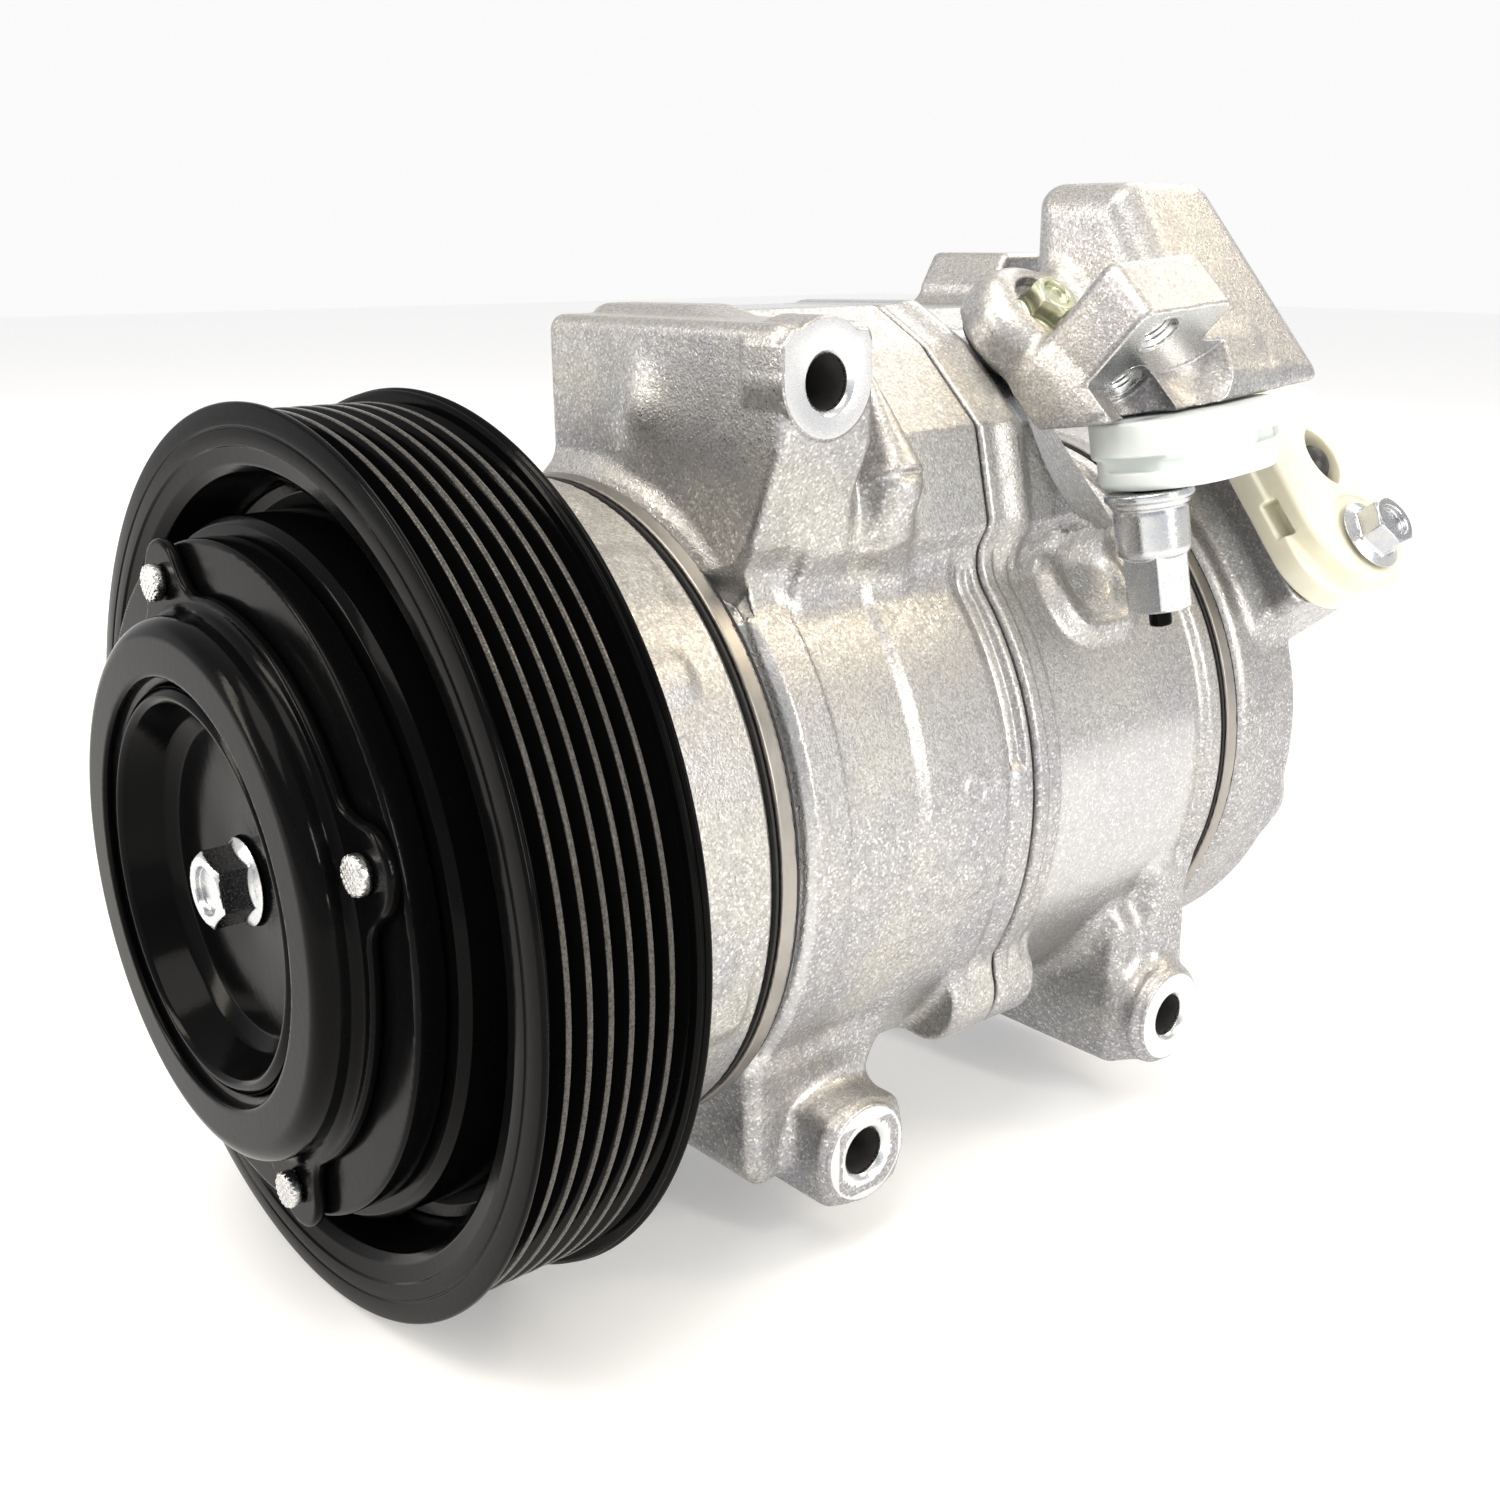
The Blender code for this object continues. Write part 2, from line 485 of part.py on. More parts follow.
for i, a in enumerate(RIVET_ANGLES):
    at = polar(RIVET_PCR, a)
    turned(f"clutch_rivet_{i + 1}", [(0.0, -2.9), (2.0, -2.9), (2.0, -10.4), (3.1, -10.4), (3.1, -11.8), (2.5, -12.4),
                                     (0.0, -12.5)], 10, "zinc", centre=(at.x, 0, at.z), closed=False)
turned("clutch_damper", [(42.2, -11.0), (42.2, -14.5), (33.8, -14.5), (33.8, -11.0)], ROUND, "rubber")
turned("clutch_inner_hub", [(11.0, 6.0), (11.0, -4.2), (27.6, -4.2), (33.4, -5.6), (33.4, -15.2), (31.4, -16.0),
                            (30.6, -14.8), (28.4, -8.4), (26.6, -7.2), (3.4, -7.2), (3.4, -5.0), (7.7, -5.0),
                            (7.7, 6.0)], ROUND, "black_steel")
hub_bolt = turned("clutch_centre_bolt", [(0.0, 13.5), (3.0, 13.5), (3.0, -7.5), (7.6, -7.5), (7.6, -8.6), (7.0, -9.2),
                                         (0.0, -9.2)], 24, "zinc", closed=False)
hex_head = rod("centre_bolt_hex", 6.6, (0, -14.2, 0), (0, -9.0, 0), 6, helper=True)
cut(hex_head, rod("centre_bolt_dish", 4.2, (0, -15.0, 0), (0, -13.3, 0), 16, helper=True))
join(hub_bolt, hex_head)

# ---------------------------------------------------------------- shaft, swash plate, bearings and seal
shaft = turned("drive_shaft", [(0.0, 172.0), (8.4, 172.0), (9.0, 171.2), (9.0, 62.0), (8.8, 29.0), (7.4, 27.0),
                               (7.4, -4.6), (0.0, -4.6)], 28, "steel", closed=False)
cut(shaft, rod("shaft_tap", 3.3, (0, -8.0, 0), (0, 15.0, 0), 14, helper=True))
swash = turned("swash_plate", [(0.0, Y_MID + 13.9), (18.0, Y_MID + 13.9), (18.0, Y_MID - 13.9), (0.0, Y_MID - 13.9)], 40,
               "cast", closed=False)
tilt = Vector((0.0, math.cos(math.radians(SWASH_TILT)), math.sin(math.radians(SWASH_TILT))))
join(swash, rod("swash_disc", SWASH_R, Vector((0, Y_MID, 0)) - tilt * SWASH_T / 2,
                Vector((0, Y_MID, 0)) + tilt * SWASH_T / 2, 48, helper=True))
cut(swash, rod("swash_bore", 9.3, (0, Y_MID - 40, 0), (0, Y_MID + 40, 0), 28, helper=True))
for end, name in ((-1, "front"), (1, "rear")):
    y = Y_MID + end * 17.1
    turned(f"{name}_thrust_bearing", [(19.0, y + 2.8), (19.0, y - 2.8), (9.4, y - 2.8), (9.4, y + 2.8)], 18, "steel")
    y = Y_MID + end * 43.0
    turned(f"{name}_shaft_bearing", [(12.4, y + 9.0), (12.4, y - 9.0), (9.35, y - 9.0), (9.35, y + 9.0)], 18, "steel")
turned("shaft_seal", [(15.2, 42.0), (15.2, 32.0), (9.1, 32.0), (9.1, 34.5), (12.0, 36.0), (12.0, 42.0)], 28, "rubber")

# ---------------------------------------------------------------- five double-headed pistons
HALF = (Y_BLOCK_R[1] - Y_BLOCK_F[0]) / 2 - STROKE / 2 - 0.7
for i in range(5):
    a = PISTON_ANGLE + 72 * i
    centre = polar(BORE_PCR, a)
    r = PISTON_R
    piston = turned(f"piston_{i + 1}", [
        (0.0, Y_MID + HALF), (r - 0.6, Y_MID + HALF), (r, Y_MID + HALF - 0.6), (r, Y_MID - HALF + 0.6),
        (r - 0.6, Y_MID - HALF), (0.0, Y_MID - HALF)], 20, "cast", centre=(centre.x, 0, centre.z), closed=False)
    opening = block(f"piston_opening_{i + 1}", (-19.1, -29.5, -17.0), (19.1, 29.5, 17.0), helper=True)
    opening.matrix_local = Matrix.Rotation(math.radians(-a), 4, "Y") @ Matrix.Translation(
        Vector((29.1, Y_MID, 0.0)) * MM)
    cut(piston, opening)

# ---------------------------------------------------------------- manifold seal and bolt
seal_at = lobe_foot - FLANK_N * 0.6
seal = slab("manifold_gasket", oval(24.0, 20.0, 16), 0.6, frame(seal_at, (0, 1, 0), FLANK_N), "gasket")
cut(seal, rod("manifold_gasket_hole", 4.0, seal_at - FLANK_N * 5, seal_at + FLANK_N * 5, 10, helper=True))
seat = lobe_foot + FLANK_N * 7.6
manifold_bolt = rod("manifold_bolt", 2.8, seat - FLANK_N * 19.0, seat + FLANK_N * 1.0, 12, "yellow_zinc")
join(manifold_bolt, rod("manifold_bolt_flange", 5.4, seat + FLANK_N * 0.3, seat + FLANK_N * 1.4, 20, helper=True),
     rod("manifold_bolt_hex", 4.7, seat + FLANK_N * 1.0, seat + FLANK_N * 5.4, 6, helper=True))

# ---------------------------------------------------------------- shipping caps on the two ports
PORT1_C = Vector((60.0, 156.0, 64.6))              # centre of the first cap
e1 = (Vector((0, 1, 0)) - PORT1_N * PORT1_N.y).normalized()      # along the port face
cap1 = slab("port_cap_1", oval(38.5, 29.0), 5.6, frame(PORT1_C - PORT1_N * 2.9, e1, PORT1_N), "nylon")
join(cap1, slab("port_cap_1_lower", oval(36.0, 27.0), 5.6, frame(PORT1_C + PORT1_N * 2.6, e1, PORT1_N), helper=True))
STUD1 = PORT1_C - e1 * 12.4
cut(cap1, rod("port_cap_1_hole", 3.3, STUD1 - PORT1_N * 20, STUD1 + PORT1_N * 20, 14, helper=True))
nut1 = rod("port_cap_1_nut", 7.9, STUD1 + PORT1_N * 5.9, STUD1 + PORT1_N * 7.7, 24, "zinc")
join(nut1, rod("port_nut_barrel", 6.8, STUD1 + PORT1_N * 7.0, STUD1 + PORT1_N * 18.6, 24, helper=True),
     rod("port_nut_hex", 6.4, STUD1 + PORT1_N * 16.6, STUD1 + PORT1_N * 28.6, 6, helper=True))
cut(nut1, rod("port_nut_thread", 3.1, STUD1, STUD1 + PORT1_N * 40, 14, helper=True))
rod("port_cap_1_stud", 2.8, STUD1 - PORT1_N * 5.0, STUD1 + PORT1_N * 31.6, 14, "black_steel")

n2, v2 = PORT2_N, PORT2_V
CAP2_C = PORT2_C + n2 * 0.3
cap2 = slab("port_cap_2", oval(50.0, 37.0), 5.2, frame(CAP2_C + n2 * 2.6, v2, n2), "cream_nylon")
join(cap2, slab("port_cap_2_upper", oval(47.0, 35.0), 5.6, frame(CAP2_C + n2 * 7.6, v2, n2), helper=True))
PLUG2, STUD2 = PORT2_C + v2 * 5.0, PORT2_C - v2 * 14.5
cut(cap2, rod("port_cap_2_eye", 6.4, PLUG2 - n2 * 5, PLUG2 + n2 * 20, 20, helper=True),
    rod("port_cap_2_hole", 3.3, STUD2 - n2 * 5, STUD2 + n2 * 20, 14, helper=True))
plug = rod("port_plug_2", 6.0, PLUG2 - n2 * 6.0, PLUG2 + n2 * 7.0, 20, "rubber")
join(plug, rod("port_plug_2_dome", 6.0, PLUG2 + n2 * 6.9, PLUG2 + n2 * 9.4, 20, helper=True, r2=3.4))
bolt2 = rod("port_cap_2_bolt", 2.9, STUD2 - n2 * 12.0, STUD2 + n2 * 11.4, 14, "zinc")
join(bolt2, rod("port_bolt_flange", 7.4, STUD2 + n2 * 11.0, STUD2 + n2 * 12.4, 24, helper=True),
     rod("port_bolt_hex", 5.9, STUD2 + n2 * 12.2, STUD2 + n2 * 18.2, 6, helper=True))
cut(manifold,
    rod("manifold_stud_hole", 3.3, STUD1 - PORT1_N * 7.0, STUD1 + PORT1_N * 6, 12, helper=True),
    rod("manifold_port", 8.0, PORT1_C + e1 * 8.5 - PORT1_N * 17.0,
        PORT1_C + e1 * 8.5 + PORT1_N * 2, 20, helper=True))
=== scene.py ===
"""Looks of the air-conditioning compressor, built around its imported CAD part.

Lengths are millimetres in the part's modelling frame (Y from the pulley's front flange) until a mesh is made,
which moves Y by DATUM and turns them into metres. Castings are implicit solids, meshed on a narrow grid; turned
pieces are lathed. Every piece rides on its CAD body and stands for its CAD node.
"""
import math

import bpy
import numpy as np
from mathutils import Matrix, Vector


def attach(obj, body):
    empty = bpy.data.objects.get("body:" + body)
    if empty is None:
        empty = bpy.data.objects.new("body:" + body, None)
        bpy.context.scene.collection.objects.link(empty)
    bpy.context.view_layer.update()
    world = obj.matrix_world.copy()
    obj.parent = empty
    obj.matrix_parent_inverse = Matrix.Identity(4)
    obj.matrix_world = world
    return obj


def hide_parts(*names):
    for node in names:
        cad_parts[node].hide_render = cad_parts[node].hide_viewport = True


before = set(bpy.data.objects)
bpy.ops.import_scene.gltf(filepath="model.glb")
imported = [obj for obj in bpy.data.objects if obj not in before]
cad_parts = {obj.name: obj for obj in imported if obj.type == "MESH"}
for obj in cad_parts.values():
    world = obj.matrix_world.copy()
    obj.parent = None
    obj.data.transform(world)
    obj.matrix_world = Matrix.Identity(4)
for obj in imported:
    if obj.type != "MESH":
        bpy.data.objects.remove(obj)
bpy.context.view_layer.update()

DATUM = 71.0
MM = 0.001

# ------------------------------------------------------------------ distance functions


def ru(a, b, r):
    """Union with a concave fillet of radius r."""
    return np.maximum(r, np.minimum(a, b)) - np.hypot(np.maximum(r - a, 0), np.maximum(r - b, 0))


def ri(a, b, r):
    """Intersection with a convex round of radius r."""
    return np.minimum(-r, np.maximum(a, b)) + np.hypot(np.maximum(r + a, 0), np.maximum(r + b, 0))


def rs(a, b, r):
    """a minus b, the edge rounded by r."""
    return ri(a, -b, r)


def step(v, a, b):
    t = np.clip((v - a) / (b - a), 0, 1)
    return t * t * (3 - 2 * t)


def band(v, a, b, w):
    return step(v, a - w, a + w) * (1 - step(v, b - w, b + w))


def unit(v):
    v = np.asarray(v, float)
    return v / np.linalg.norm(v)


def slabd(v, lo, hi):
    return np.abs(v - (lo + hi) / 2) - (hi - lo) / 2


def rod(x, y, z, p0, p1, r, rnd=0.6, r2=None):
    """Round bar from p0 to p1."""
    p0, p1 = np.asarray(p0, float), np.asarray(p1, float)
    n = p1 - p0
    length = np.linalg.norm(n)
    n = n / length
    dx, dy, dz = x - p0[0], y - p0[1], z - p0[2]
    t = dx * n[0] + dy * n[1] + dz * n[2]
    rad = np.sqrt(np.maximum(dx * dx + dy * dy + dz * dz - t * t, 0))
    wall = rad - r if r2 is None else (rad - (r + (r2 - r) * np.clip(t / length, -0.2, 1.2))) * math.cos(math.atan2(abs(r2 - r), length))
    return ri(wall, slabd(t, 0, length), rnd)


def rody(x, y, z, r, y0, y1, cx=0.0, cz=0.0, rnd=0.6):
    return ri(np.hypot(x - cx, z - cz) - r, slabd(y, y0, y1), rnd)


def boxd(x, y, z, lo, hi, rnd=1.0):
    return ri(ri(slabd(x, lo[0], hi[0]), slabd(y, lo[1], hi[1]), rnd), slabd(z, lo[2], hi[2]), rnd)


def halfp(x, y, z, p, n):
    n = unit(n)
    return (x - p[0]) * n[0] + (y - p[1]) * n[1] + (z - p[2]) * n[2]


def inset(pts, r):
    """The polygon with every edge moved in by r."""
    pts = [np.asarray(p, float) for p in pts]
    area = sum(a[0] * b[1] - b[0] * a[1] for a, b in zip(pts, pts[1:] + pts[:1]))
    if area < 0:
        pts = pts[::-1]
    out = []
    for i, p in enumerate(pts):
        a, b = pts[i - 1], pts[(i + 1) % len(pts)]
        e0, e1 = unit(p - a), unit(b - p)
        n0, n1 = np.array([-e0[1], e0[0]]), np.array([-e1[1], e1[0]])
        m = n0 + n1
        out.append(p + m * r / max(m @ n0, 0.3))
    return out


def poly(u, v, pts, rnd=0.0):
    """Signed distance to a polygon, convex corners rounded by rnd."""
    if rnd:
        pts = inset(pts, rnd)
    pts = [np.asarray(p, float) for p in pts]
    d = None
    sign = None
    for i, a in enumerate(pts):
        b = pts[i - 1]
        e = b - a
        wu, wv = u - a[0], v - a[1]
        t = np.clip((wu * e[0] + wv * e[1]) / (e @ e), 0, 1)
        du, dv = wu - e[0] * t, wv - e[1] * t
        q = du * du + dv * dv
        d = q if d is None else np.minimum(d, q)
        c1, c2 = v >= a[1], v < b[1]
        c3 = e[0] * wv > e[1] * wu
        flip = (c1 & c2 & c3) | (~c1 & ~c2 & ~c3)
        sign = flip if sign is None else sign ^ flip
    return np.where(sign, -1.0, 1.0) * np.sqrt(d) - rnd


def prism_y(x, y, z, pts, lo, hi, rnd=1.5, corner=2.0):
    return ri(poly(x, z, pts, corner), slabd(y, lo, hi), rnd)


def prism_x(x, y, z, pts, lo, hi, rnd=1.5, corner=2.0):
    return ri(poly(y, z, pts, corner), slabd(x, lo, hi), rnd)


def polar(r, a, y=0.0):
    a = math.radians(a)
    return np.array([r * math.cos(a), y, r * math.sin(a)])


# ------------------------------------------------------------------ meshing

CORNERS = np.array([(i, j, k) for i in (0, 1) for j in (0, 1) for k in (0, 1)])
EDGES = [(a, b) for a in range(8) for b in range(a + 1, 8) if abs(CORNERS[a] - CORNERS[b]).sum() == 1]


def nets(f, lo, hi, h, fuss=1.35):
    """Points, quads and normals of f = 0: f is sampled only near the surface, and points are moved onto it."""
    lo = np.asarray(lo, float) - h * 0.37
    blocks = np.ceil((np.asarray(hi, float) - lo) / h / 8).astype(int) + 1
    n = blocks * 8
    mid = [lo[i] + (np.arange(blocks[i]) * 8 + 4) * h for i in range(3)]
    coarse = np.broadcast_to(f(mid[0][:, None, None], mid[1][None, :, None], mid[2][None, None, :]), tuple(blocks))
    F = np.empty(tuple(n + 1), np.float32)
    up = coarse.astype(np.float32)
    for axis in range(3):
        up = np.repeat(up, 8, axis)
    F[:-1, :-1, :-1] = up
    F[-1], F[:, -1], F[:, :, -1] = 1.0, 1.0, 1.0
    active = np.argwhere(np.abs(coarse) < h * 8 * 0.867 * fuss)
    span = np.arange(9)
    for start in range(0, len(active), 400):
        part = active[start:start + 400]
        ids = [part[:, i, None] * 8 + span[None, :] for i in range(3)]
        x, y, z = (lo[i] + ids[i] * h for i in range(3))
        value = f(x[:, :, None, None], y[:, None, :, None], z[:, None, None, :])
        F[ids[0][:, :, None, None], ids[1][:, None, :, None], ids[2][:, None, None, :]] = value
    for axis in range(3):
        edge = [slice(None)] * 3
        for end in (0, -1):
            edge[axis] = end
            F[tuple(edge)] = np.maximum(F[tuple(edge)], 0.01)
    S = F < 0
    count = np.zeros(tuple(n), np.uint8)
    for c in CORNERS:
        count += S[c[0]:c[0] + n[0], c[1]:c[1] + n[1], c[2]:c[2] + n[2]]
    mixed = (count > 0) & (count < 8)
    cells = np.argwhere(mixed)
    index = np.full(tuple(n), -1, np.int32)
    index[mixed] = np.arange(len(cells))
    values = [F[cells[:, 0] + c[0], cells[:, 1] + c[1], cells[:, 2] + c[2]] for c in CORNERS]
    total = np.zeros((len(cells), 3))
    number = np.zeros(len(cells))
    for a, b in EDGES:
        fa, fb = values[a], values[b]
        cross = (fa < 0) != (fb < 0)
        t = np.where(cross, fa / np.where(fa == fb, 1, fa - fb), 0)
        total += (CORNERS[a] + (CORNERS[b] - CORNERS[a]) * t[:, None]) * cross[:, None]
        number += cross
    points = lo + (cells + total / number[:, None]) * h
    quads = []
    for axis in range(3):
        a, b = (axis + 1) % 3, (axis + 2) % 3
        low, high = [slice(1, -1)] * 3, [slice(1, -1)] * 3
        low[axis], high[axis] = slice(0, -1), slice(1, None)
        s0, s1 = S[tuple(low)], S[tuple(high)]
        loc = np.argwhere(s0 != s1)
        inside = s0[loc[:, 0], loc[:, 1], loc[:, 2]]
        loc = loc + 1
        loc[:, axis] -= 1
        ea, eb = np.zeros(3, int), np.zeros(3, int)
        ea[a], eb[b] = 1, 1
        pick = lambda q: index[q[:, 0], q[:, 1], q[:, 2]]
        ring = np.stack([pick(loc - ea - eb), pick(loc - eb), pick(loc), pick(loc - ea)], 1)
        ring[~inside] = ring[~inside][:, ::-1]
        quads.append(ring)
    quads = np.concatenate(quads)
    quads = quads[(quads >= 0).all(1)]

    def slope(p, e):
        x, y, z = p[:, 0], p[:, 1], p[:, 2]
        return np.stack([f(x + e, y, z) - f(x - e, y, z), f(x, y + e, z) - f(x, y - e, z),
                         f(x, y, z + e) - f(x, y, z - e)], 1) / (2 * e)

    for _ in range(3):
        g = slope(points, h * 0.08)
        value = f(points[:, 0], points[:, 1], points[:, 2])
        move = -value[:, None] * g / np.maximum((g * g).sum(1), 0.2)[:, None]
        points = points + np.clip(move, -0.35 * h, 0.35 * h)
    g = slope(points, h * 0.25)
    normals = g / np.maximum(np.linalg.norm(g, axis=1), 1e-9)[:, None]
    return points, quads, normals


def to_mesh(name, points, quads, normals=None, mask=None, smooth=True, matrix=None):
    if matrix is not None:
        turn = np.array(matrix.to_3x3())
        points = points @ turn.T + np.array(matrix.translation)
        if normals is not None:
            normals = normals @ turn.T
    points = (points - np.array([0, DATUM, 0])) * MM
    mesh = bpy.data.meshes.new(name)
    faces = np.asarray(quads)
    corners = faces.shape[1]
    mesh.vertices.add(len(points))
    mesh.vertices.foreach_set("co", points.astype(np.float32).ravel())
    mesh.loops.add(faces.size)
    mesh.loops.foreach_set("vertex_index", faces.astype(np.int32).ravel())
    mesh.polygons.add(len(faces))
    mesh.polygons.foreach_set("loop_start", np.arange(0, faces.size, corners, dtype=np.int32))
    mesh.update(calc_edges=True)
    mesh.validate()
    if smooth:
        mesh.shade_smooth()
    if normals is not None:
        mesh.normals_split_custom_set_from_vertices(normals.astype(np.float32))
    if mask is not None:
        held = mesh.attributes.new("machined", "FLOAT", "POINT")
        held.data.foreach_set("value", mask.astype(np.float32))
    return mesh


def add(name, mesh, material, body, nodes):
    mesh.materials.append(material)
    obj = bpy.data.objects.new(name, mesh)
    bpy.context.scene.collection.objects.link(obj)
    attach(obj, body)
    if nodes:
        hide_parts(*nodes)
    return obj


def implicit(name, f, lo, hi, h, material, body, nodes, faces=(), matrix=None, extra=None, fuss=1.35):
    """faces are machined: (point, normal, tolerance along the normal, reach across it)."""
    points, quads, normals = nets(f, lo, hi, h, fuss)
    mask = np.zeros(len(points))
    for point, normal, tolerance, reach in faces:
        normal = unit(normal)
        off = points - np.asarray(point, float)
        along = off @ normal
        across = np.linalg.norm(off - along[:, None] * normal, axis=1)
        mask = np.maximum(mask, ((np.abs(along) < tolerance) & (across < reach) & (normals @ normal > 0.93)) * 1.0)
    if extra is not None:
        mask = np.maximum(mask, extra(points, normals))
    mesh = to_mesh(name, points, quads, normals, mask, matrix=matrix)
    return add(name, mesh, material, body, nodes)


def soften(profile, closed, r=0.35, n=3):
    """Corners of a (radius, height) line, rounded."""
    out = []
    pts = [np.array(p[:2], float) for p in profile]
    for i, p in enumerate(pts):
        own = profile[i][2] if len(profile[i]) > 2 else r
        if not closed and i in (0, len(pts) - 1) or own <= 0 or p[0] < 1e-6:
            out.append(p)
            continue
        a, b = pts[i - 1] - p, pts[(i + 1) % len(pts)] - p
        la, lb = np.linalg.norm(a), np.linalg.norm(b)
        a, b = a / la, b / lb
        cosine = float(np.clip(a @ b, -1, 1))
        if cosine < -0.995:
            out.append(p)
            continue
        half = math.acos(cosine) / 2
        cut = min(own / math.tan(half), 0.45 * la, 0.45 * lb)
        r_used = cut * math.tan(half)
        start, end = p + a * cut, p + b * cut
        centre = p + unit(a + b) * (r_used / math.sin(half))
        u, v = start - centre, end - centre
        angle = math.acos(float(np.clip(unit(u) @ unit(v), -1, 1)))
        for k in range(n + 1):
            t = k / n
            if angle < 1e-4:
                out.append(start)
                break
            out.append(centre + (math.sin((1 - t) * angle) * u + math.sin(t * angle) * v) / math.sin(angle))
    return out


def lathe(name, profile, material, body, nodes, steps=192, centre=(0, 0, 0), axis=(0, 1, 0), closed=True,
          r=0.35, mask=None, start=(0, 360), wobble=None):
    """Profile of (radius, height[, corner radius]) turned about axis. An open profile ends on the axis."""
    line = np.array(soften(profile, closed, r))
    area = sum(a[0] * b[1] - b[0] * a[1] for a, b in zip(line, np.roll(line, -1, 0)))
    if area > 0:
        line = line[::-1]
    m = len(line)
    axis = unit(axis)
    side = unit(np.cross(axis, (0, 0, 1) if abs(axis[2]) < 0.9 else (1, 0, 0)))
    other = np.cross(axis, side)
    t = np.linspace(0, 2 * math.pi, steps, endpoint=False)
    ring = np.cos(t)[:, None] * side + np.sin(t)[:, None] * other
    pole = line[:, 0] < 1e-6
    verts, ids = [], np.zeros((steps, m), int)
    count = 0
    for j in range(m):
        if pole[j]:
            verts.append((np.asarray(centre) + axis * line[j, 1])[None])
            ids[:, j] = count
            count += 1
        else:
            rr = line[j, 0]
            verts.append(np.asarray(centre) + ring * rr + axis * line[j, 1])
            ids[:, j] = count + np.arange(steps)
            count += steps
    points = np.concatenate(verts)
    tris, quads = [], []
    last = m if closed else m - 1
    for j in range(last):
        k = (j + 1) % m
        a, b = ids[:, j], ids[:, k]
        a2, b2 = np.roll(a, -1), np.roll(b, -1)
        if pole[j] and pole[k]:
            continue
        if pole[j]:
            tris.append(np.stack([a, b, b2], 1))
        elif pole[k]:
            tris.append(np.stack([a, b, a2], 1))
        else:
            quads.append(np.stack([a, b, b2, a2], 1))
    mesh = bpy.data.meshes.new(name)
    loops, starts, at = [], [], 0
    for group in quads + tris:
        loops.append(group.ravel())
        starts.append(at + np.arange(len(group)) * group.shape[1])
        at += group.size
    points = (points - np.array([0, DATUM, 0])) * MM
    mesh.vertices.add(len(points))
    mesh.vertices.foreach_set("co", points.astype(np.float32).ravel())
    mesh.loops.add(at)
    mesh.loops.foreach_set("vertex_index", np.concatenate(loops).astype(np.int32))
    mesh.polygons.add(sum(len(s) for s in starts))
    mesh.polygons.foreach_set("loop_start", np.concatenate(starts).astype(np.int32))
    mesh.update(calc_edges=True)
    mesh.validate()
    volume = 0.0
    co = points
    for group in quads + tris:
        p = co[group]
        for c in range(1, group.shape[1] - 1):
            volume += np.einsum("ij,ij->i", p[:, 0], np.cross(p[:, c], p[:, c + 1])).sum()
    if volume < 0:
        mesh.flip_normals()
    mesh.shade_smooth()
    mesh.set_sharp_from_angle(angle=math.radians(50))
    if mask is not None:
        held = mesh.attributes.new("machined", "FLOAT", "POINT")
        back = points / MM + np.array([0, DATUM, 0])
        held.data.foreach_set("value", mask(back).astype(np.float32))
    return add(name, mesh, material, body, nodes)


# ------------------------------------------------------------------ materials


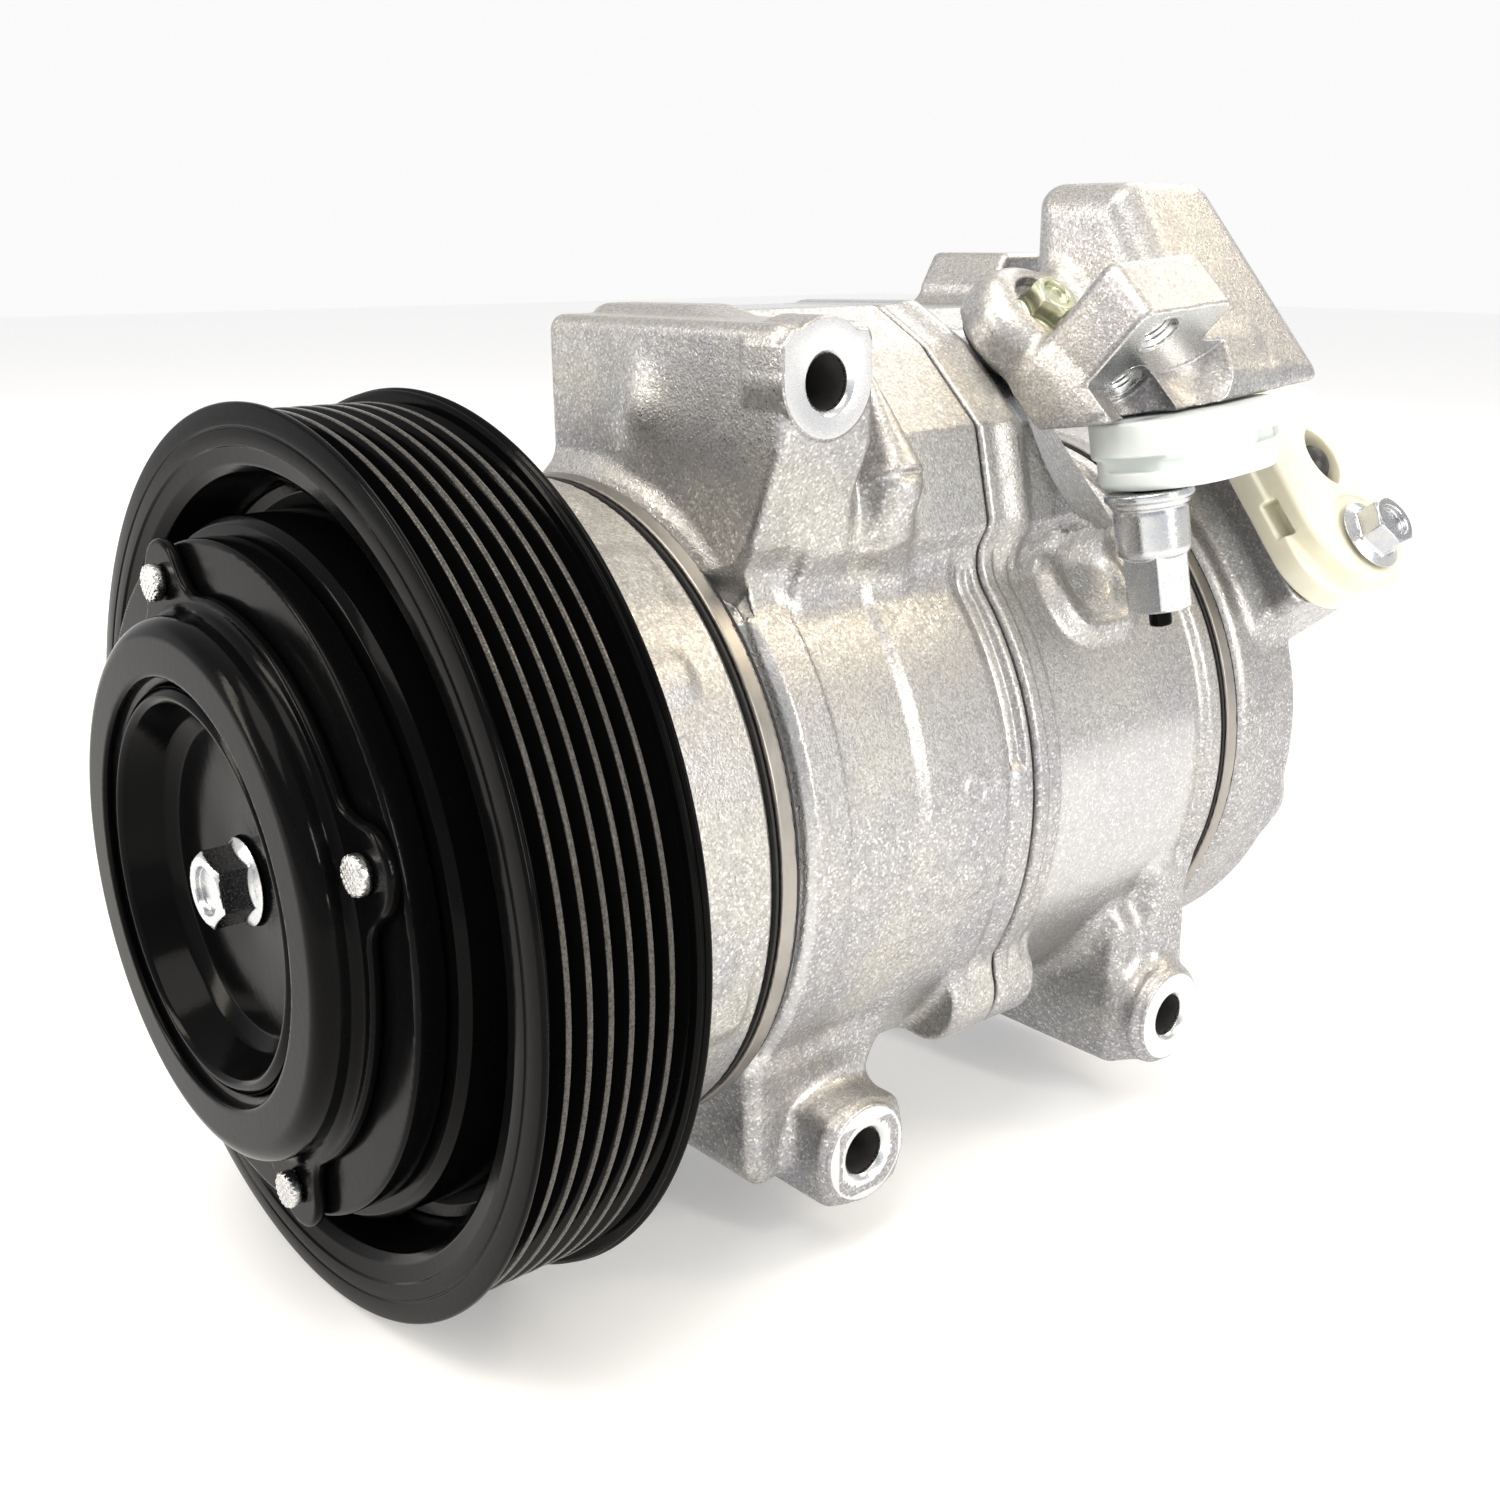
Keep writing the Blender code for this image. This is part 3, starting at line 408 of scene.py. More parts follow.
class Nodes:
    """A short hand for node trees: coordinates are millimetres in the part's frame."""

    def __init__(self, name):
        self.material = bpy.data.materials.new(name)
        self.material.use_nodes = True
        self.tree = self.material.node_tree
        self.shader = self.tree.nodes["Principled BSDF"]
        coord = self.tree.nodes.new("ShaderNodeTexCoord")
        mapping = self.tree.nodes.new("ShaderNodeMapping")
        mapping.inputs["Scale"].default_value = (1000, 1000, 1000)
        self.tree.links.new(coord.outputs["Object"], mapping.inputs["Vector"])
        self.at = mapping.outputs["Vector"]

    def link(self, a, b):
        self.tree.links.new(a, b)

    def noise(self, scale, detail=3.0, rough=0.55, at=None, kind="Fac"):
        n = self.tree.nodes.new("ShaderNodeTexNoise")
        n.inputs["Scale"].default_value = scale
        n.inputs["Detail"].default_value = detail
        n.inputs["Roughness"].default_value = rough
        self.link(at or self.at, n.inputs["Vector"])
        return n.outputs[kind]

    def voronoi(self, scale, feature="F1", out="Distance"):
        n = self.tree.nodes.new("ShaderNodeTexVoronoi")
        n.feature = feature
        n.inputs["Scale"].default_value = scale
        self.link(self.at, n.inputs["Vector"])
        return n.outputs[out]

    def ramp(self, value, stops):
        n = self.tree.nodes.new("ShaderNodeValToRGB")
        while len(n.color_ramp.elements) < len(stops):
            n.color_ramp.elements.new(0.5)
        for element, (place, colour) in zip(n.color_ramp.elements, stops):
            element.position = place
            element.color = (colour, colour, colour, 1) if isinstance(colour, (int, float)) else (*colour, 1)
        self.link(value, n.inputs["Fac"])
        return n.outputs["Color"]

    def math(self, op, a, b=None, clamp=False):
        n = self.tree.nodes.new("ShaderNodeMath")
        n.operation = op
        n.use_clamp = clamp
        for i, v in enumerate((a, b)):
            if v is None:
                continue
            if isinstance(v, (int, float)):
                n.inputs[i].default_value = v
            else:
                self.link(v, n.inputs[i])
        return n.outputs[0]

    def mix(self, factor, a, b):
        n = self.tree.nodes.new("ShaderNodeMix")
        n.data_type = "RGBA"
        for socket, v in ((n.inputs[0], factor), (n.inputs[6], a), (n.inputs[7], b)):
            if isinstance(v, (int, float)) and socket == n.inputs[0]:
                socket.default_value = v
            elif isinstance(v, (int, float)):
                socket.default_value = (v, v, v, 1)
            elif isinstance(v, tuple):
                socket.default_value = (*v, 1)
            else:
                self.link(v, socket)
        return n.outputs[2]

    def range(self, value, a, b, c, d):
        n = self.tree.nodes.new("ShaderNodeMapRange")
        for i, v in enumerate((a, b, c, d)):
            n.inputs[i + 1].default_value = v
        self.link(value, n.inputs[0])
        return n.outputs[0]

    def attribute(self, name):
        n = self.tree.nodes.new("ShaderNodeAttribute")
        n.attribute_name = name
        return n.outputs["Fac"]

    def bump(self, height, distance_mm, strength=1.0, normal=None):
        n = self.tree.nodes.new("ShaderNodeBump")
        n.inputs["Distance"].default_value = distance_mm * MM
        if isinstance(strength, (int, float)):
            n.inputs["Strength"].default_value = strength
        else:
            self.link(strength, n.inputs["Strength"])
        self.link(height, n.inputs["Height"])
        if normal is not None:
            self.link(normal, n.inputs["Normal"])
        return n.outputs["Normal"]

    def set(self, **values):
        for key, v in values.items():
            socket = self.shader.inputs[key.replace("_", " ")]
            if isinstance(v, tuple):
                socket.default_value = (*v, 1)
            elif isinstance(v, (int, float)):
                socket.default_value = v
            else:
                self.link(v, socket)
        return self.material


def cast(name, warmth_and_top_light=0.0, dark=1.0, seed=0.0):
    """Sand-cast aluminium with sparkle; surfaces facing up are painted lighter and warmer as painted top light, more so
    on the warmer castings; the machined attribute turns it to a cut face.
    """
    n = Nodes(name)
    big = n.noise(0.045, 3.0)
    patch = n.noise(0.35, 4.0)
    fine = n.noise(2.3, 2.0, 0.5)
    cells = n.voronoi(2.4, out="Color")
    split = n.tree.nodes.new("ShaderNodeSeparateColor")
    n.link(cells, split.inputs[0])
    grain_tone = n.range(split.outputs[1], 0.0, 1.0, 0.80, 1.16)
    bright = n.math("MULTIPLY", n.range(fine, 0.3, 0.7, 0.84, 1.12), n.range(patch, 0.25, 0.75, 0.92, 1.06))
    bright = n.math("MULTIPLY", bright, grain_tone)
    tone = n.mix(n.ramp(big, [(0.4, 0.0), (0.62, 1.0)]), (0.37 * dark, 0.367 * dark, 0.386 * dark),
                 (0.445 * dark, 0.438 * dark, (0.437 - 0.022 * warmth_and_top_light) * dark))
    # painted top light: the upward-facing side is mixed towards a warm cream tone, stronger on the warmer castings
    up = n.tree.nodes.new("ShaderNodeSeparateXYZ")
    geometry = n.tree.nodes.new("ShaderNodeNewGeometry")
    n.link(geometry.outputs["Normal"], up.inputs[0])
    painted_top_light = n.math("MULTIPLY", n.range(up.outputs[2], 0.1, 0.95, 0.0, 1.0), 0.55 + 0.25 * min(warmth_and_top_light, 1.0), clamp=True)
    tone = n.mix(painted_top_light, tone, (0.63 * dark, 0.60 * dark, 0.545 * dark))
    multiply = n.tree.nodes.new("ShaderNodeVectorMath")
    multiply.operation = "SCALE"
    n.link(tone, multiply.inputs[0])
    n.link(bright, multiply.inputs["Scale"])
    glint = n.ramp(split.outputs[0], [(0.82, 0.0), (0.90, 1.0)])
    colour_cast = n.mix(n.math("MULTIPLY", glint, 0.38), multiply.outputs[0], (0.92, 0.91, 0.89))
    rough_cast = n.math("SUBTRACT", n.range(patch, 0.2, 0.8, 0.46, 0.38), n.math("MULTIPLY", glint, 0.14))
    cut = n.attribute("machined")
    streak = n.tree.nodes.new("ShaderNodeMapping")
    streak.inputs["Scale"].default_value = (0.25, 1.0, 4.0)
    n.link(n.at, streak.inputs["Vector"])
    lines = n.noise(2.2, 2.0, 0.6, at=streak.outputs["Vector"])
    rough_cut = n.range(lines, 0.3, 0.7, 0.22, 0.32)
    colour = n.mix(cut, colour_cast, n.mix(lines, (0.64, 0.645, 0.66), (0.76, 0.76, 0.765)))
    rough = n.tree.nodes.new("ShaderNodeMix")
    n.link(cut, rough.inputs[0])
    n.link(rough_cast, rough.inputs[2])
    n.link(rough_cut, rough.inputs[3])
    keep = n.math("SUBTRACT", 1.0, n.math("MULTIPLY", cut, 0.97))
    tilt = n.math("MULTIPLY", split.outputs[2], 0.30)
    grain = n.math("ADD", n.math("MULTIPLY", fine, 0.75), n.math("MULTIPLY", tilt, 0.6))
    normal = n.bump(grain, 0.11, keep)
    normal = n.bump(patch, 0.16, n.math("MULTIPLY", keep, 0.5), normal)
    normal = n.bump(lines, 0.010, 0.5, normal)
    return n.set(Base_Color=colour, Metallic=1.0, Roughness=rough.outputs[0], Normal=normal)


def coat(name, level=0.010, rough=0.20):
    """Black coated steel: slight orange peel, dust, thin worn spots where the machined attribute says."""
    n = Nodes(name)
    peel = n.noise(0.55, 2.0)
    dust = n.noise(2.6, 4.0, 0.7)
    smear = n.noise(0.08, 3.0)
    speck = n.ramp(n.voronoi(0.55), [(0.0, 1.0), (0.05, 0.0)])
    base = n.mix(n.ramp(dust, [(0.55, 0.0), (0.85, 1.0)]), (level, level, level * 1.05),
                 (level * 2.2, level * 2.1, level * 1.9))
    base = n.mix(n.math("MULTIPLY", speck, 0.25), base, (0.12, 0.115, 0.105))
    worn = n.math("MULTIPLY", n.attribute("machined"), n.range(dust, 0.35, 0.65, 0.2, 1.0))
    base = n.mix(worn, base, (0.36, 0.34, 0.31))
    gloss = n.range(smear, 0.3, 0.7, rough * 0.75, rough * 1.35)
    gloss = n.math("ADD", gloss, n.math("MULTIPLY", n.ramp(dust, [(0.5, 0.0), (0.8, 1.0)]), 0.08))
    normal = n.bump(peel, 0.05, 0.35)
    normal = n.bump(dust, 0.012, 0.4, normal)
    return n.set(Base_Color=base, Metallic=worn, Roughness=gloss, Specular_IOR_Level=0.055, Normal=normal)


def plated(name, colour=(0.58, 0.58, 0.57), tint=(0.49, 0.51, 0.55), rough=0.19):
    n = Nodes(name)
    cloud = n.noise(0.25, 3.0)
    fine = n.noise(3.0, 3.0, 0.6)
    base = n.mix(n.ramp(cloud, [(0.35, 0.0), (0.65, 1.0)]), colour, tint)
    dirt = n.ramp(n.noise(0.9, 4.0), [(0.60, 0.0), (0.80, 1.0)])
    base = n.mix(n.math("MULTIPLY", dirt, 0.45), base, tuple(c * 0.55 for c in colour))
    gloss = n.range(fine, 0.3, 0.7, rough * 0.8, rough * 1.7)
    return n.set(Base_Color=base, Metallic=1.0, Roughness=gloss, Normal=n.bump(fine, 0.03, 0.5))


def steel(name, colour=(0.40, 0.385, 0.36), rough=0.34):
    n = Nodes(name)
    stretch = n.tree.nodes.new("ShaderNodeMapping")
    stretch.inputs["Scale"].default_value = (0.6, 6.0, 0.6)
    n.link(n.at, stretch.inputs["Vector"])
    lines = n.noise(1.2, 3.0, 0.6, at=stretch.outputs["Vector"])
    stain = n.noise(0.12, 4.0)
    base = n.mix(n.ramp(stain, [(0.35, 0.0), (0.7, 1.0)]), colour, tuple(c * 0.72 for c in colour))
    base = n.mix(n.math("MULTIPLY", lines, 0.35), base, tuple(min(c * 1.35, 0.9) for c in colour))
    return n.set(Base_Color=base, Metallic=1.0, Roughness=n.range(lines, 0.3, 0.7, rough * 0.8, rough * 1.3),
                 Normal=n.bump(lines, 0.02, 0.5))


def soft(name, colour, rough=0.6, bump=0.05, spec=0.4):
    n = Nodes(name)
    mottle = n.noise(0.4, 4.0)
    fine = n.noise(2.5, 3.0, 0.6)
    base = n.mix(n.ramp(mottle, [(0.3, 0.0), (0.75, 1.0)]), colour, tuple(min(1, c * 1.5 + 0.004) for c in colour))
    return n.set(Base_Color=base, Roughness=n.range(fine, 0.3, 0.7, rough * 0.85, min(1, rough * 1.15)),
                 Specular_IOR_Level=spec, Normal=n.bump(fine, bump, 0.6))


def nylon(name, colour, edge):
    """Moulded translucent plastic, with flow clouding and fine mould texture."""
    n = Nodes(name)
    flow = n.noise(0.12, 3.0)
    fine = n.noise(1.6, 3.0, 0.6)
    base = n.mix(n.ramp(flow, [(0.3, 0.0), (0.75, 1.0)]), colour, edge)
    n.shader.subsurface_method = "RANDOM_WALK"
    n.shader.inputs["Subsurface Radius"].default_value = (1.0, 0.9, 0.8)
    n.shader.inputs["Subsurface Scale"].default_value = 0.003
    return n.set(Base_Color=base, Roughness=n.range(fine, 0.3, 0.7, 0.30, 0.46), Subsurface_Weight=0.55,
                 Specular_IOR_Level=0.5, Normal=n.bump(fine, 0.03, 0.5))


M_BLOCK_F = cast("cast_front_block", warmth_and_top_light=1.0)
M_BLOCK_R = cast("cast_rear_block", warmth_and_top_light=0.6, dark=0.97)
M_HOUSING_F = cast("cast_front_housing", warmth_and_top_light=1.2)
M_HOUSING_R = cast("cast_rear_housing", warmth_and_top_light=0.2, dark=0.92)
M_MANIFOLD = cast("cast_manifold", warmth_and_top_light=0.5, dark=1.04)
M_PISTON = cast("piston_alloy", dark=0.95)
M_BLACK = coat("black_coat", 0.0022, 0.12)
M_BLACK_PULLEY = coat("black_coat_pulley", 0.002, 0.11)
M_ZINC = plated("zinc_plate")
M_RIVET = plated("rivet_zinc", (0.66, 0.65, 0.63), (0.54, 0.54, 0.54), 0.22)
M_YELLOW = plated("yellow_zinc", (0.74, 0.73, 0.56), (0.64, 0.70, 0.54), 0.16)
M_STEEL = steel("steel")
M_PLATE = steel("plate_steel", (0.34, 0.32, 0.295), 0.36)
M_BEARING = steel("bearing_steel", (0.55, 0.55, 0.54), 0.2)
M_COPPER = steel("copper_wire", (0.55, 0.26, 0.12), 0.38)
M_GASKET = soft("gasket_black", (0.012, 0.012, 0.012), 0.7)
# painted shade: near-black lining for the insides of the bores
M_BORE_SHADE = soft("bore_painted_shade", (0.035, 0.034, 0.033), 0.45, 0.05, 0.35)
M_RUBBER = soft("rubber_black", (0.010, 0.010, 0.011), 0.42, 0.04, 0.5)
M_NYLON = nylon("white_nylon", (0.66, 0.71, 0.70), (0.73, 0.765, 0.75))
M_CREAM = nylon("cream_nylon", (0.72, 0.69, 0.55), (0.78, 0.76, 0.64))

BODY = "compressor_body"

# ------------------------------------------------------------------ castings

BOLT_ANGLES = [54.0 + 72 * i for i in range(5)]
BORE_ANGLES = [90.0 + 72 * i for i in range(5)]
UP_BORE, LOW_BORE, REAR_BORE, FAR_BORE = (54.0, 71.0, 79.0), (56.0, 80.5, -57.8), (60.0, 165.0, -55.6), (11.0, 166.0, 84.0)
FLANK_N = unit((0.694, 0.0, 0.72))
TOP = [(-14.0, 40.0), (-14.0, 88.0), (17.0, 88.6), (29.0, 82.0), (43.0, 68.5), (47.0, 51.0), (40.0, 38.0)]


def hollows(x, y, z, d, y0, y1, chamber):
    """Cylinders, shaft passage, swash chamber and long-bolt holes."""
    for a in BORE_ANGLES:
        p = polar(37.0, a)
        d = rs(d, np.hypot(x - p[0], z - p[2]) - 16.0, 0.4)
    for a in BOLT_ANGLES:
        p = polar(53.5, a)
        d = rs(d, np.hypot(x - p[0], z - p[2]) - 3.3, 0.3)
    d = rs(d, np.hypot(x, z) - 12.8, 0.3)
    return rs(d, ri(np.hypot(x, z) - 49.4, slabd(y, *chamber), 1.5), 0.3)


def bump_at(x, y, z, centre, size, amount, d):
    """A soft swelling of the surface."""
    q = ((x - centre[0]) / size[0]) ** 2 + ((y - centre[1]) / size[1]) ** 2 + ((z - centre[2]) / size[2]) ** 2
    return d - amount * np.exp(-q)


def front_block(x, y, z):
    r = np.hypot(x, z)
    th = np.degrees(np.arctan2(z, x))
    R = 60.0 + 0.75 * band(y, 89.0, 110.0, 1.4) * band(th, -80, 66, 5) + 0.6 * step(y, 110.5, 113.5)
    R = R - 1.3 * band(y, 111.6, 115.0, 0.5) * band(th, 9, 45, 1.5) + 0.35 * band(y, 62.5, 71.6, 0.35) * band(th, -60, 56, 4)
    R = R + 0.5 * np.exp(-(np.hypot(y - 102.3, (th + 9) * 1.057) / 3.1) ** 6)
    ring = np.hypot(y - 101.6, (th - 7) * 1.057)
    R = R + 0.28 * np.exp(-((ring - 2.5) / 0.55) ** 2)
    d = ri(r - R, slabd(y, 60.5, 122.0), 0.6)
    bevel = 0.5 + 3.0 * band(th, -58, 44, 7)
    d = np.maximum(d, ((r - R) + (60.5 + bevel - y)) * 0.7071)
    # mounting ear
    ear = prism_y(x, y, z, [(-9.5, 40), (-10.5, 87.6), (53.2, 88.0), (53.2, 69), (46.0, 52.5), (36, 40)], 61.6, 82.0, 2.2, 3.0)
    ear = bump_at(x, y, z, (16.5, 61.6, 72.5), (5.5, 4, 7.5), 1.8, ear)
    d = ru(d, ear, 5.5)
    # platform with its 45 degree flank
    plat = prism_y(x, y, z, TOP, 74.0, 122.0, 0.5, 3.0)
    d = ru(d, plat, 5.0)
    # gusset with a pointed top
    g = rod(x, y, z, (45.5, 90.5, 52.0), (49.0, 91.0, 63.5), 5.2, 2.0)
    g = ru(g, rod(x, y, z, (48.8, 91.0, 62.0), (40.5, 91.5, 79.5), 5.0, 0.6, r2=0.7), 1.5)
    g = ru(g, rod(x, y, z, (46.0, 90.5, 53.5), (41.5, 97.5, 42.8), 5.0, 1.0, r2=1.6), 1.5)
    d = ru(d, g, 3.5)
    # machined boss round the upper bore
    boss = ri(ri(np.maximum(np.hypot(y - 70.7, z - 79.6) - 9.6, -1e3), -1e3 + 0 * x, 1), slabd(x, 44.0, 54.0), 0.5)
    boss = np.minimum(boss, prism_x(x, y, z, [(61.2, 79.6), (61.2, 85.0), (63.5, 87.4), (79.0, 87.0), (80.2, 85.0), (80.2, 79.6)], 44.0, 54.0, 0.5, 0.5))
    d = ru(d, boss, 0.8)
    # lower ear
    web = prism_x(x, y, z, [(60.9, -38), (60.9, -60.0), (64, -63.5), (86.0, -61.5), (90.0, -55.5), (92.0, -38)], 12.0, 46.5, 3.0, 2.5)
    d = ru(d, web, 6.0)
    d = ru(d, rod(x, y, z, (22.0, 80.5, -57.8), (55.2, 80.5, -57.8), 9.9, 1.6), 3.5)
    d = ru(d, boxd(x, y, z, (24.0, 72.0, -67.0), (54.6, 90.3, -50.0), 2.0), 3.0)
    d = ru(d, rod(x, y, z, (44.0, 80.5, -57.8), LOW_BORE, 9.3, 0.4), 0.6)
    # lug at the seam
    p = polar(58.5, -41.0)
    d = ru(d, rody(x, y, z, 9.2, 105.5, 122.0, p[0], p[2], 1.0), 3.0)
    # thrown-out boss under the body and far-side rib
    p = polar(57.0, 198.0)
    d = ru(d, rody(x, y, z, 7.5, 66.0, 122.0, p[0], p[2], 1.0), 4.0)
    p = polar(57.0, 270.0)
    d = ru(d, rody(x, y, z, 7.5, 66.0, 122.0, p[0], p[2], 1.0), 4.0)
    d = ri(d, y - 117.15, 0.9)
    d = hollows(x, y, z, d, 60.5, 116.9, (97.0, 140.0))
    # locating notch at the front edge
    n = polar(60.0, 47.5)
    dr = x * math.cos(math.radians(47.5)) + z * math.sin(math.radians(47.5))
    dt = -x * math.sin(math.radians(47.5)) + z * math.cos(math.radians(47.5))
    notch = ri(ri(np.abs(dt + (y - 60.5) * 0.6) - 4.2 + (y - 60.5) * 0.55, y - 64.4, 0.4), 57.0 - dr, 0.4)
    d = rs(d, notch, 0.3)
    for b, x0 in ((UP_BORE, -20.0), (LOW_BORE, 15.0)):
        rr = np.hypot(y - b[1], z - b[2])
        d = rs(d, ri(rr - 4.9, slabd(x, x0, 70.0), 0.3), 0.2)
        d = np.maximum(d, -((rr - 5.9) + (b[0] - x)) * 0.7071)
    return d


def rear_block(x, y, z):
    r = np.hypot(x, z)
    th = np.degrees(np.arctan2(z, x))
    R = 58.9 + 1.5 * (1 - step(y, 124.2, 126.6)) + 1.3 * step(y, 169.5, 172.0)
    R = R + 0.5 * band(y, 118.0, 121.0, 0.3)
    d = ri(r - R, slabd(y, 113.0, 175.7), 1.0)
    plat = prism_y(x, y, z, TOP, 113.0, 127.0, 0.5, 3.0)
    low = [(p[0] - (FLANK_N[0] if p[0] > 18 else 0), p[1] - (FLANK_N[2] if p[0] > 18 else 1.0)) for p in TOP]
    d = ru(d, plat, 5.0)
    d = ru(d, prism_y(x, y, z, low, 124.0, 158.0, 2.0, 3.0), 4.0)
    # far upper ear
    d = ru(d, prism_x(x, y, z, [(157.0, 50.0), (156.5, 91.0), (160.5, 97.6), (171.0, 97.6), (175.0, 91.5), (175.0, 50.0)], -10.5, 10.6, 1.5, 2.0), 4.0)
    d = ru(d, rod(x, y, z, (-6.0, 166.0, 84.0), FAR_BORE, 8.5, 0.5), 1.0)
    # lower ear
    d = ru(d, boxd(x, y, z, (12.0, 154.0, -66.5), (53.5, 175.0, -34.0), 3.0), 6.0)
    d = ru(d, rod(x, y, z, (30.0, 165.0, -55.6), (59.2, 165.0, -55.6), 10.9, 1.8), 4.0)
    d = ru(d, rod(x, y, z, (52.0, 165.0, -55.6), REAR_BORE, 9.6, 0.4), 0.6)
    rib = boxd(x, y, z, (40.0, 163.0, -46.0), (55.5, 173.5, -24.0), 2.0)
    d = ru(d, rib, 4.0)
    p = polar(58.5, -41.0)
    d = ru(d, rody(x, y, z, 9.2, 113.0, 128.5, p[0], p[2], 1.0), 3.0)
    for a in (198.0, 270.0):
        p = polar(56.5, a)
        d = ru(d, rody(x, y, z, 7.5, 113.0, 170.0, p[0], p[2], 1.5), 4.0)
    # raised U with a shallow floor
    t = (th - 37.0) * 1.03
    s = y - 146.0
    uu = ri(np.abs(t) - 10.5, np.abs(s) - 12.0, 9.0)
    inner = ri(np.abs(t - 1.5) - 7.5, np.abs(s - 1.5) - 9.0, 7.0)
    lift = 2.2 * (1 - step(uu, -3.2, 1.6)) - 2.4 * (1 - step(inner, -4.2, 1.6))
    d = d - lift * step(r, 52.0, 56.0) * (r < 66)
    d = ri(d, 117.85 - y, 0.9)
    d = hollows(x, y, z, d, 118.1, 175.7, (100.0, 139.2))
    for b, x0, x1 in ((REAR_BORE, 28.0, 80.0), (FAR_BORE, -20.0, 20.0)):
        rr = np.hypot(y - b[1], z - b[2])
        d = rs(d, ri(rr - 4.9, slabd(x, x0, x1), 0.3), 0.2)
        d = np.maximum(d, -np.maximum((rr - 5.9) + (b[0] - x), b[0] - 12 - x) * 0.7071)
    return rs(d, rod(x, y, z, LOBE_FOOT + FLANK_N * 5, LOBE_FOOT - FLANK_N * 16, 3.3, 0.2), 0.2)


LOBE = np.array((36.6, 140.6, 86.8))
SEAT = np.array((36.0, 138.0, 75.25))
LOBE_FOOT = LOBE - FLANK_N * ((LOBE - SEAT) @ FLANK_N - 1.2)
DOWN = np.array((FLANK_N[2], 0.0, -FLANK_N[0]))


def on_flank(down, y, out):
    """A point by its run down the flank, its Y and its height off the flank."""
    return np.array((SEAT[0], y, SEAT[2])) + DOWN * down + FLANK_N * out


HOLE_A, HOLE_B = on_flank(14.0, 140.4, 26.0), on_flank(14.0, 143.0, 13.4)
PORT1_N = unit((0.13, 0.08, -0.988))
PORT1_C = np.array((60.0, 156.0, 64.6))
E1 = unit(np.array((0, 1, 0)) - PORT1_N * PORT1_N[1])
STUD1 = PORT1_C - E1 * 12.4
PORT2_N = unit((0.79, 0.0, 0.613))
PORT2_V = np.cross(PORT2_N, (0, 1, 0))
PORT2_C = np.array((51.2, 209.0, 46.5))


def manifold(x, y, z):
    down = (x - SEAT[0]) * DOWN[0] + (z - SEAT[2]) * DOWN[2]
    out = (x - SEAT[0]) * FLANK_N[0] + (z - SEAT[2]) * FLANK_N[2]
    wedge = ri(poly(x, z, [(66.0, 60.0), (42.0, 60.0), (30.5, 85.5), (23.2, 95.0), (23.2, 110.6), (45.0, 110.6), (66.0, 76.5)], 4.5),
               151.0 - y, 7.0)
    wedge = ri(wedge, halfp(x, y, z, (30.0, 185.2, 93.5), (0, 0.944, 0.329)), 5.0)
    foot = ri(poly(down, out, [(-18.0, -6.0), (-18.0, 7.5), (-14.5, 10.6), (17.0, 10.6), (21.0, 13.5), (21.0, -6.0)], 3.0),
              slabd(y, 131.4 + 0.18 * np.maximum(6.0 - out, 0), 158.0), 3.0)
    lip = ri(poly(down, out - 0.14 * (y - 131.5), [(2.0, -6.0), (2.0, 12.0), (14.5, 14.0), (22.0, 14.5), (23.0, -6.0)], 2.5),
             slabd(y, 131.4, 178.0), 3.0)
    fill = ri(poly(down, out, [(-2.0, -4.0), (-2.0, 21.5), (13.0, 22.4), (17.0, 20.5), (22.6, 18.0), (23.0, -4.0)], 2.0),
              slabd(y, 146.0, 174.0), 2.5)
    d = ru(ru(ru(wedge, foot, 5.0), lip, 3.0), fill, 3.0)
    d = ru(d, rod(x, y, z, LOBE_FOOT - FLANK_N * 3, LOBE_FOOT + FLANK_N * 9.6, 12.4, 4.2), 2.5)
    rise = out - 0.11 * (y - 131.5)
    bar = poly(down, rise, [(0.8, -6.0), (0.8, 31.4), (15.6, 31.4), (15.6, 14.5), (22.0, 14.5), (22.0, -6.0)], 2.8)
    bar = ri(bar, slabd(y, 131.4 + 0.10 * np.maximum(6.0 - out, 0), 155.0), 2.8)
    d = ru(d, bar, 2.6)
    # underside towards the port cover, and the seat on the block's flank
    d = ri(d, halfp(x, y, z, PORT1_C - PORT1_N * 6.1, PORT1_N), 1.2)
    d = ri(d, 0.5 - out, 0.4)
    # milled face with its two tapped holes
    pocket = np.minimum(np.hypot(y - 150.5, out - 28.3) - 12.3, np.hypot(y - 138.0, out - 24.0) - 12.0)
    pocket = np.minimum(pocket, np.hypot(y - HOLE_B[1], out - 13.4) - 5.2)
    d = rs(d, ri(pocket, 14.0 - down, 0.5), 0.25)
    for h, deep in ((HOLE_A, 10.5), (HOLE_B, 10.5)):
        ring = np.sqrt((y - h[1]) ** 2 + (out - (h - SEAT) @ FLANK_N) ** 2)
        d = rs(d, ri(ring - 3.75, 14.0 - deep - down, 0.4), 0.2)
    d = rs(d, rod(x, y, z, LOBE_FOOT + FLANK_N * 7.6, LOBE_FOOT + FLANK_N * 40, 7.0, 0.6), 0.5)
    d = rs(d, rod(x, y, z, LOBE_FOOT - FLANK_N * 5, LOBE_FOOT + FLANK_N * 20, 3.1, 0.2), 0.2)
    d = rs(d, rod(x, y, z, STUD1 - PORT1_N * 7.0, STUD1 + PORT1_N * 6, 3.3, 0.2), 0.2)
    return rs(d, rod(x, y, z, PORT1_C + E1 * 8.5 - PORT1_N * 8.4, PORT1_C + E1 * 8.5 + PORT1_N * 12, 5.0, 0.4), 0.6)


